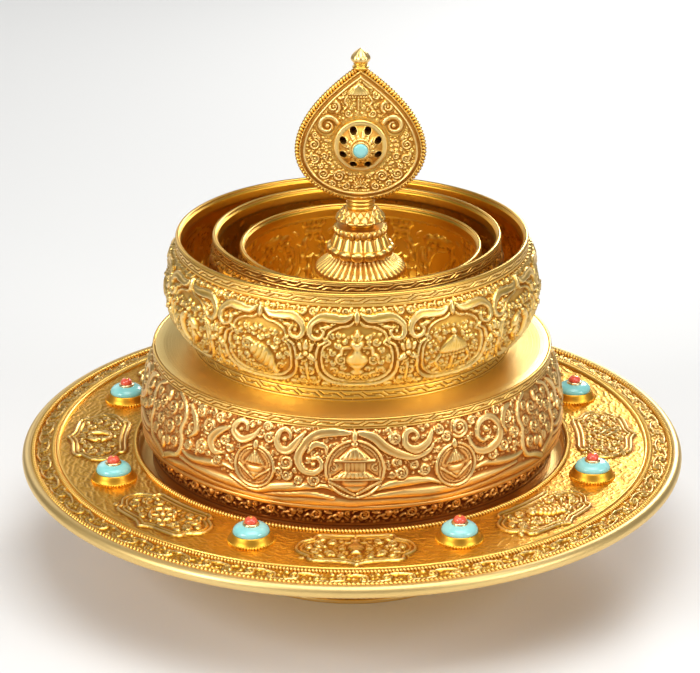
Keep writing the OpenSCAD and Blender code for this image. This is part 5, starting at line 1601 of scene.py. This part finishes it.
class OFFERING_OT_finial_stem(bpy.types.Operator):
    """Builds the finial's stem: spigot, skirt, lotus bell, collar, knop, neck, and the leaf's bud"""
    bl_idname = "offering_plate.finial_stem"
    bl_label = "Finial stem"

    def execute(self, context):
        size, look = context.scene.plate_finial, all_finishes(context.scene.plate_finishes)
        at = middle_of("finial_spigot") / MM
        plate_z = context.scene.plate_base.plate_z / MM
        spigot, skirt, lotus_r = size.spigot_r / MM, size.skirt_r / MM, size.lotus_r / MM
        skirt_z, lotus_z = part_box("finial_skirt")[0].z / MM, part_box("finial_lotus")[0].z / MM
        collar_z, knop_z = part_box("finial_collar")[0].z / MM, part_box("finial_knop")[0].z / MM
        neck_z, top_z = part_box("finial_neck")[0].z / MM, top_of("finial_neck") / MM

        def settled(name, profile, steps, finish, node, sheet=None):
            """A solid turned on the finial's axis, worked over its whole profile where a sheet is given."""
            ends = np.concatenate([[(0, profile[0][1])], profile, [(0, profile[-1][1])]])
            work = Work(sheet) if sheet is not None else None
            piece = turned(name, ends, [], steps, work, at, 1, len(profile))
            return settle(piece, "finial", "gilt", look[finish], node)

        def stretch(profile):
            """Length along a profile."""
            return np.hypot(*np.diff(profile, axis=0).T).sum()

        tube = spaced([(spigot, plate_z), (spigot, plate_z + 1.2), (spigot - 0.4, plate_z + 1.7),
                       (spigot - 0.4, skirt_z + 0.1)], 2.0)
        settle(turned("finial_tube", tube, tube[::-1] * (0, 1) + (spigot - 1.6, 0), 120, at=at), "finial",
               "gilt", look["plain"], "finial_spigot")
        # the skirt: flutes that spread from the bell and end in scallops round its edge
        waist = 12.6
        rise = even([(spigot, skirt_z), (skirt - 2.2, skirt_z), (skirt - 1.2, skirt_z + 0.5),
                     (skirt - 0.8, skirt_z + 1.5), (skirt - 0.9, skirt_z + 2.6), (skirt - 2.2, skirt_z + 3.8),
                     (skirt - 4.6, skirt_z + 5.2), (waist + 1.2, lotus_z - 1.6), (waist, lotus_z)], 0.38)
        tall = stretch(rise)
        hang = tall - 1.2 - (skirt - 2.2 - spigot)
        flutes = petal_row(40, 2 * math.pi * skirt, tall, tall - 0.3, hang, 0.94, 1.0)
        settled("finial_fluted_skirt", rise, 400, "leaf", "finial_skirt", flutes)
        # the bell: a plain band, hanging petals and a ring with a scalloped lower edge
        low = [(waist, lotus_z), (lotus_r - 0.9, lotus_z + 0.6), (lotus_r - 0.2, lotus_z + 1.4),
               (lotus_r - 0.2, lotus_z + 3.6), (lotus_r - 0.6, lotus_z + 4.0), (13.5, lotus_z + 4.2)]
        petals = [(13.5, lotus_z + 4.2), (10.7, lotus_z + 10.6)]
        ring = [(11.3, lotus_z + 10.9), (11.9, lotus_z + 11.7), (11.9, lotus_z + 13.2),
                (11.3, lotus_z + 14.1), (8.0, collar_z)]
        bell = even(low + petals[1:] + ring, 0.34)
        tall, foot, long = stretch(bell), stretch(np.array(low)), stretch(np.array(petals))
        sheet = petal_row(15, 2 * math.pi * lotus_r, tall, foot + long, long + 1.8, 1.0, 1.2)
        for k in range(26):
            x = sheet.length * k / 26
            sheet.stroke([(x, foot + long + 0.5), (x, foot + long + 3.4)], np.array((3.0, 3.2, 2.4, 0.6)),
                         0.9, margin=0.3)
        settled("finial_lotus_bell", bell, 345, "leaf", "finial_lotus", sheet)
        collar = spaced([(6.4, collar_z), (6.7, collar_z + 0.3), (6.7, knop_z - 0.3), (6.4, knop_z)], 1.5)
        settled("finial_ring", collar, 120, "cup", "finial_collar")
        # the pointed knop, with leaf scales above its edge
        knop, tall = size.knop_r / MM - 0.4, neck_z - knop_z
        under = np.array([(7.0, knop_z + 0.1), (0.92 * knop, knop_z + 0.20 * tall),
                          (knop, knop_z + 0.30 * tall)])
        side = even([*under, (0.95 * knop, knop_z + 0.42 * tall), (7.2, neck_z - 0.1)], 0.3)
        scales = knop_sheet(16, 2 * math.pi * knop, stretch(side), stretch(under))
        settled("finial_leaf_knop", side, 272, "leaf", "finial_knop", scales)
        # the grooved neck
        neck, step = size.neck_r / MM, (top_z - neck_z) / 3
        grooves = [(neck - 0.4, neck_z)]
        for k in range(3):
            grooves += [(neck - dr, neck_z + (k + dz) * step)
                        for dr, dz in ((0.25, 0.12), (0.0, 0.38), (0.0, 0.62), (0.25, 0.86), (0.8, 0.98))]
        settled("finial_grooved_neck", spaced(grooves + [(neck - 1.6, top_z)], 0.8), 120, "plain",
                "finial_neck")
        # the bud on the tip
        tip_z, bud_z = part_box("tip_collar")[0].z / MM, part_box("tip_bud")[0].z / MM
        bud_top = top_of("tip_bud") / MM
        ring = spaced([(3.3, tip_z - 0.6), (3.9, tip_z + 0.3), (3.7, tip_z + 0.9), (2.9, tip_z + 1.3),
                       (3.4, bud_z - 0.3), (3.0, bud_z + 0.1)], 0.5)
        settled("tip_ring", ring, 72, "plain", "tip_collar")
        bud, tall, t = reach_of("tip_bud") / MM, bud_top - bud_z, np.linspace(0, 1, 24)
        side = np.concatenate([[(0, bud_z)],
                               np.stack([bud * (0.7 + 0.3 * np.sin(0.5 * math.pi * t)),
                                         bud_z + 0.3 * tall * t], 1),
                               np.stack([bud * (1 - t[1:] ** 1.8), bud_z + tall * (0.3 + 0.7 * t[1:])], 1)])
        side[-1] = (0, bud_top)

        def faceted(a, z):
            return 1 - 0.08 * (1 - np.abs(np.cos(4 * a)) ** 0.7) * np.clip((bud_top - z) / 2.5, 0, 1)

        piece = turned("tip_faceted_bud", side, [], 96, swell=faceted)
        piece.data.transform(Matrix.Translation((at * MM, 0, 0)))
        settle(piece, "finial", "gilt", look["pale"], "tip_bud")
        for node in ("finial_rod", "finial_nut"):
            keep(node, look["plain"])
        return {"FINISHED"}


class OFFERING_OT_finial_leaf(bpy.types.Operator):
    """Builds the finial's leaf: two chased faces, milled wire, domed wheels and hub stones"""
    bl_idname = "offering_plate.finial_leaf"
    bl_label = "Finial leaf"

    def execute(self, context):
        size, look = context.scene.plate_finial, all_finishes(context.scene.plate_finishes)
        at = middle_of("finial_spigot") / MM
        half, low, up = size.leaf_half / MM, size.leaf_low / MM, size.leaf_up / MM
        mid, hub_z, wheel_r = size.leaf_mid_z / MM, size.wheel_z / MM, size.wheel_r / MM
        face, wheel_y, dome = size.face_y / MM, size.wheel_y / MM, size.wheel_dome / MM

        def outline(inset, points=720):
            """Radius of the leaf's edge about the wheel's centre, at even angles from the right."""
            h = np.linspace(0, 1, 400)
            tall = up - 1.277 * inset
            right = np.stack([(half - inset) * (1 - h ** 1.9), mid - hub_z + tall * h], 1)
            q = np.radians(np.linspace(-90, 0, 300))
            below = np.stack([(half - inset) * np.cos(q), mid - hub_z + (low - inset) * np.sin(q)], 1)
            side = np.concatenate([below[:-1], right])
            whole = np.concatenate([side, (side * (-1, 1))[::-1][1:-1]])
            turn = np.unwrap(np.arctan2(whole[:, 1], whole[:, 0]))
            radius = np.hypot(*whole.T)
            even_turn = np.linspace(0, 2 * math.pi, points, endpoint=False)
            return np.interp(even_turn, turn, radius, period=2 * math.pi)

        steps, over = 540, 58
        rows = over + 5
        edge = outline(2.2, steps)
        t = np.linspace(0, 2 * math.pi, 240, endpoint=False)
        wide, tall, centre_y = 66.0, 80.0, 34.0
        lines = [np.stack([wide / 2 + r * np.cos(t), centre_y + r * np.sin(t)], 1)
                 for r in (outline(3.4, 240), outline(4.6, 240))]
        work = Work(leaf_sheet(wide, tall, wide / 2, centre_y + mid + 1.4 - hub_z, lines, centre_y))
        for name, way, node in (("leaf_front_face", -1, "leaf_front"), ("leaf_back_face", 1, "leaf_back")):

            def place(col, row, way=way):
                col, row = col % steps, row % (rows + 1)
                turn = 2 * math.pi * col / steps
                part = np.clip((row - 2) / over, 0, 1)
                r = edge[col] * (1 - part) + (wheel_r - 0.9) * part
                r = np.where(row <= 1, edge[col], r)
                r = np.where(row == over + 4, wheel_r + 2.0, r)
                x, z = r * np.cos(turn), r * np.sin(turn)
                depth = np.select([row == 0, row == 1, row <= over + 2, row == over + 3],
                                  [1.3, face - 1.3, face - 0.8 + 0.25 * np.sin(math.pi * part), 2.0], 1.3)
                worked = (row >= 3) & (row <= over + 2)
                depth = depth + np.where(worked, work.sheet.sample(work.relief, wide / 2 + x, centre_y + z),
                                         0.0)
                tone = work.sheet.sample(work.over, wide / 2 + x, centre_y + z)
                return np.stack([at + x, way * depth, hub_z + z], 1), np.where(worked, tone, 0.0)

            settle(wrapped_grid(name, steps, rows, place), "finial", "gilt", look["leaf"], node, "leaf_strip")
        # the milled wire round the edge
        teeth, per_tooth, section = size.leaf_teeth, 8, 10
        ring = outline(1.4, 4000)
        t = np.linspace(0, 2 * math.pi, 4000, endpoint=False)
        path = np.stack([ring * np.cos(t), ring * np.sin(t)], 1)
        path = np.concatenate([path, path[:1]])
        along = np.concatenate([[0], np.cumsum(np.hypot(*np.diff(path, axis=0).T))])
        stops = along[-1] * np.arange(teeth * per_tooth) / (teeth * per_tooth)
        centre = np.stack([np.interp(stops, along, path[:, k]) for k in (0, 1)], 1)
        ahead = np.roll(centre, -1, 0) - np.roll(centre, 1, 0)
        ahead /= np.hypot(*ahead.T)[:, None]

        def tooth_place(col, row):
            col, around = col % (teeth * per_tooth), 2 * math.pi * (row % section) / section
            part = np.mod(col / per_tooth + around / (2 * math.pi), 1.0)
            big = 1 - 0.45 * np.exp(-(np.minimum(part, 1 - part) / 0.17) ** 2)
            out = np.stack([ahead[col, 1], -ahead[col, 0]], 1) * (1.4 * big * np.cos(around))[:, None]
            # the cuts between the teeth get a low chase value, which the gilt finish darkens, partly as
            # patina and partly as painted shade
            return (np.stack([at + centre[col, 0] + out[:, 0], 1.7 * big * np.sin(around),
                              hub_z + centre[col, 1] + out[:, 1]], 1), (big - 0.86) * 1.2)

        settle(wrapped_grid("leaf_teeth", teeth * per_tooth, section, tooth_place), "finial", "gilt",
               look["chased"], "leaf_bead_wire")
        # domed wheels, with their openings cut through to the dark disc, whose near-black colour is painted
        # shade inside the openings
        span, spin = 2 * wheel_r + 2.4, 240
        hub, hub_y = size.hub_r / MM, wheel_y + dome
        work = Work(wheel_sheet(span, size.spokes))
        for name, way, node in (("wheel_front_face", -1, "wheel_front"),
                                ("wheel_back_face", 1, "wheel_back")):

            def wheel_place(col, row, way=way):
                turn = 2 * math.pi * (col % spin) / spin
                r = np.select([row <= 40, row == 41, row == 42, row == 43],
                              [wheel_r * row / 40, wheel_r, wheel_r, 0.6 * wheel_r], 0.0)
                x, z = r * np.cos(turn), r * np.sin(turn)
                rise = dome * np.clip((0.84 * wheel_r - r) / (0.84 * wheel_r - hub - 1.0), 0, 1) ** 0.85
                depth = np.select([row <= 40, row == 41], [wheel_y - 0.9 + rise, 2.5], 0.55)
                worked = row < 40
                depth = depth + np.where(worked, work.sheet.sample(work.relief, span / 2 + x, span / 2 + z),
                                         0.0)
                tone = work.sheet.sample(work.over, span / 2 + x, span / 2 + z)
                return np.stack([at + x, way * depth, hub_z + z], 1), np.where(worked, tone, 0.0)

            piece = wrapped_grid(name, spin, 44, wheel_place)
            for k in range(size.spokes):
                turn = 2 * math.pi * (k + 0.5) / size.spokes
                spot = (at + 8.8 * math.cos(turn), way * 5.2, hub_z + 8.8 * math.sin(turn))
                drop_selection()
                bpy.ops.mesh.primitive_cylinder_add(vertices=24, radius=1.7 * MM, depth=10.0 * MM,
                                                    location=Vector(spot) * MM,
                                                    rotation=(math.radians(90), 0, 0))
                cutter = context.object
                drop_selection()
                context.view_layer.objects.active = piece
                piece.select_set(True)
                cut = piece.modifiers.new("opening", "BOOLEAN")
                cut.object, cut.operation, cut.solver = cutter, "DIFFERENCE", "EXACT"
                bpy.ops.object.modifier_apply(modifier=cut.name)
                bpy.data.objects.remove(cutter)
            settle(piece, "finial", "gilt", look["leaf"], node)
            # hub stone in its bezel
            bezel = [(hub - 0.1, hub_y - 0.8), (hub + 0.95, hub_y - 0.8), (hub + 0.9, hub_y + 0.8),
                     (hub + 0.5, hub_y + 1.25), (hub + 0.1, hub_y + 1.2), (hub - 0.1, hub_y + 0.8)]
            q = np.radians(np.linspace(0, 90, 10))
            stone = np.stack([hub * np.cos(q) ** 0.6, hub_y + 0.9 + 1.2 * np.sin(q)], 1)
            stone[-1] = (0, hub_y + 2.1)
            stone = np.concatenate([[(0, hub_y - 0.4), (hub, hub_y - 0.4)], stone])
            for part, profile, slot, finish, hidden in (
                    ("wheel_bezel", spaced(bezel, 0.4), "gilt", "pale", "wheel_bezels"),
                    ("wheel_turquoise", stone, "turquoise", "turquoise", "wheel_turquoises")):
                piece = turned("%s_%s" % (part, "front" if way < 0 else "back"), profile, [], 64)
                turn = Matrix.Rotation(math.radians(-90 * way), 4, "X")
                piece.data.transform(Matrix.Translation((at * MM, 0, hub_z * MM)) @ turn)
                settle(piece, "finial", slot, look[finish], hidden)
        # the backing disc, near black as painted shade behind the openings
        keep("wheel_backing", look["backing"])
        return {"FINISHED"}


class OFFERING_PT_panel(bpy.types.Panel):
    """Lists the pieces of the offering plate and their sizes"""
    bl_idname = "OFFERING_PT_panel"
    bl_label = "Offering plate"
    bl_space_type = "VIEW_3D"
    bl_region_type = "UI"
    bl_category = "Offering plate"

    def draw(self, context):
        for operator in OPERATORS:
            self.layout.operator(operator.bl_idname)
        for name in GROUPS:
            group = getattr(context.scene, name)
            box = self.layout.box()
            for key in group.__annotations__:
                box.prop(group, key)


GROUPS = {"plate_tray": TraySizes, "plate_base": BaseSizes, "plate_rings": RingSizes,
          "plate_finial": FinialSizes, "plate_finishes": Finishes}


OPERATORS = (OFFERING_OT_stage, OFFERING_OT_tray, OFFERING_OT_stones, OFFERING_OT_base, OFFERING_OT_rings,
             OFFERING_OT_finial_stem, OFFERING_OT_finial_leaf)


def register():
    """Registers the sizes, operators and panel."""
    for cls in (*GROUPS.values(), *OPERATORS, OFFERING_PT_panel):
        bpy.utils.register_class(cls)
    for name, group in GROUPS.items():
        setattr(bpy.types.Scene, name, bpy.props.PointerProperty(type=group))


def unregister():
    """Takes the sizes, operators and panel away again."""
    for name in GROUPS:
        delattr(bpy.types.Scene, name)
    for cls in reversed((*GROUPS.values(), *OPERATORS, OFFERING_PT_panel)):
        bpy.utils.unregister_class(cls)


def main():
    """Builds the plate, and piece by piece."""
    register()
    for operator in OPERATORS:
        group, name = operator.bl_idname.split(".")
        getattr(getattr(bpy.ops, group), name)()


if __name__ == "__main__":
    main()
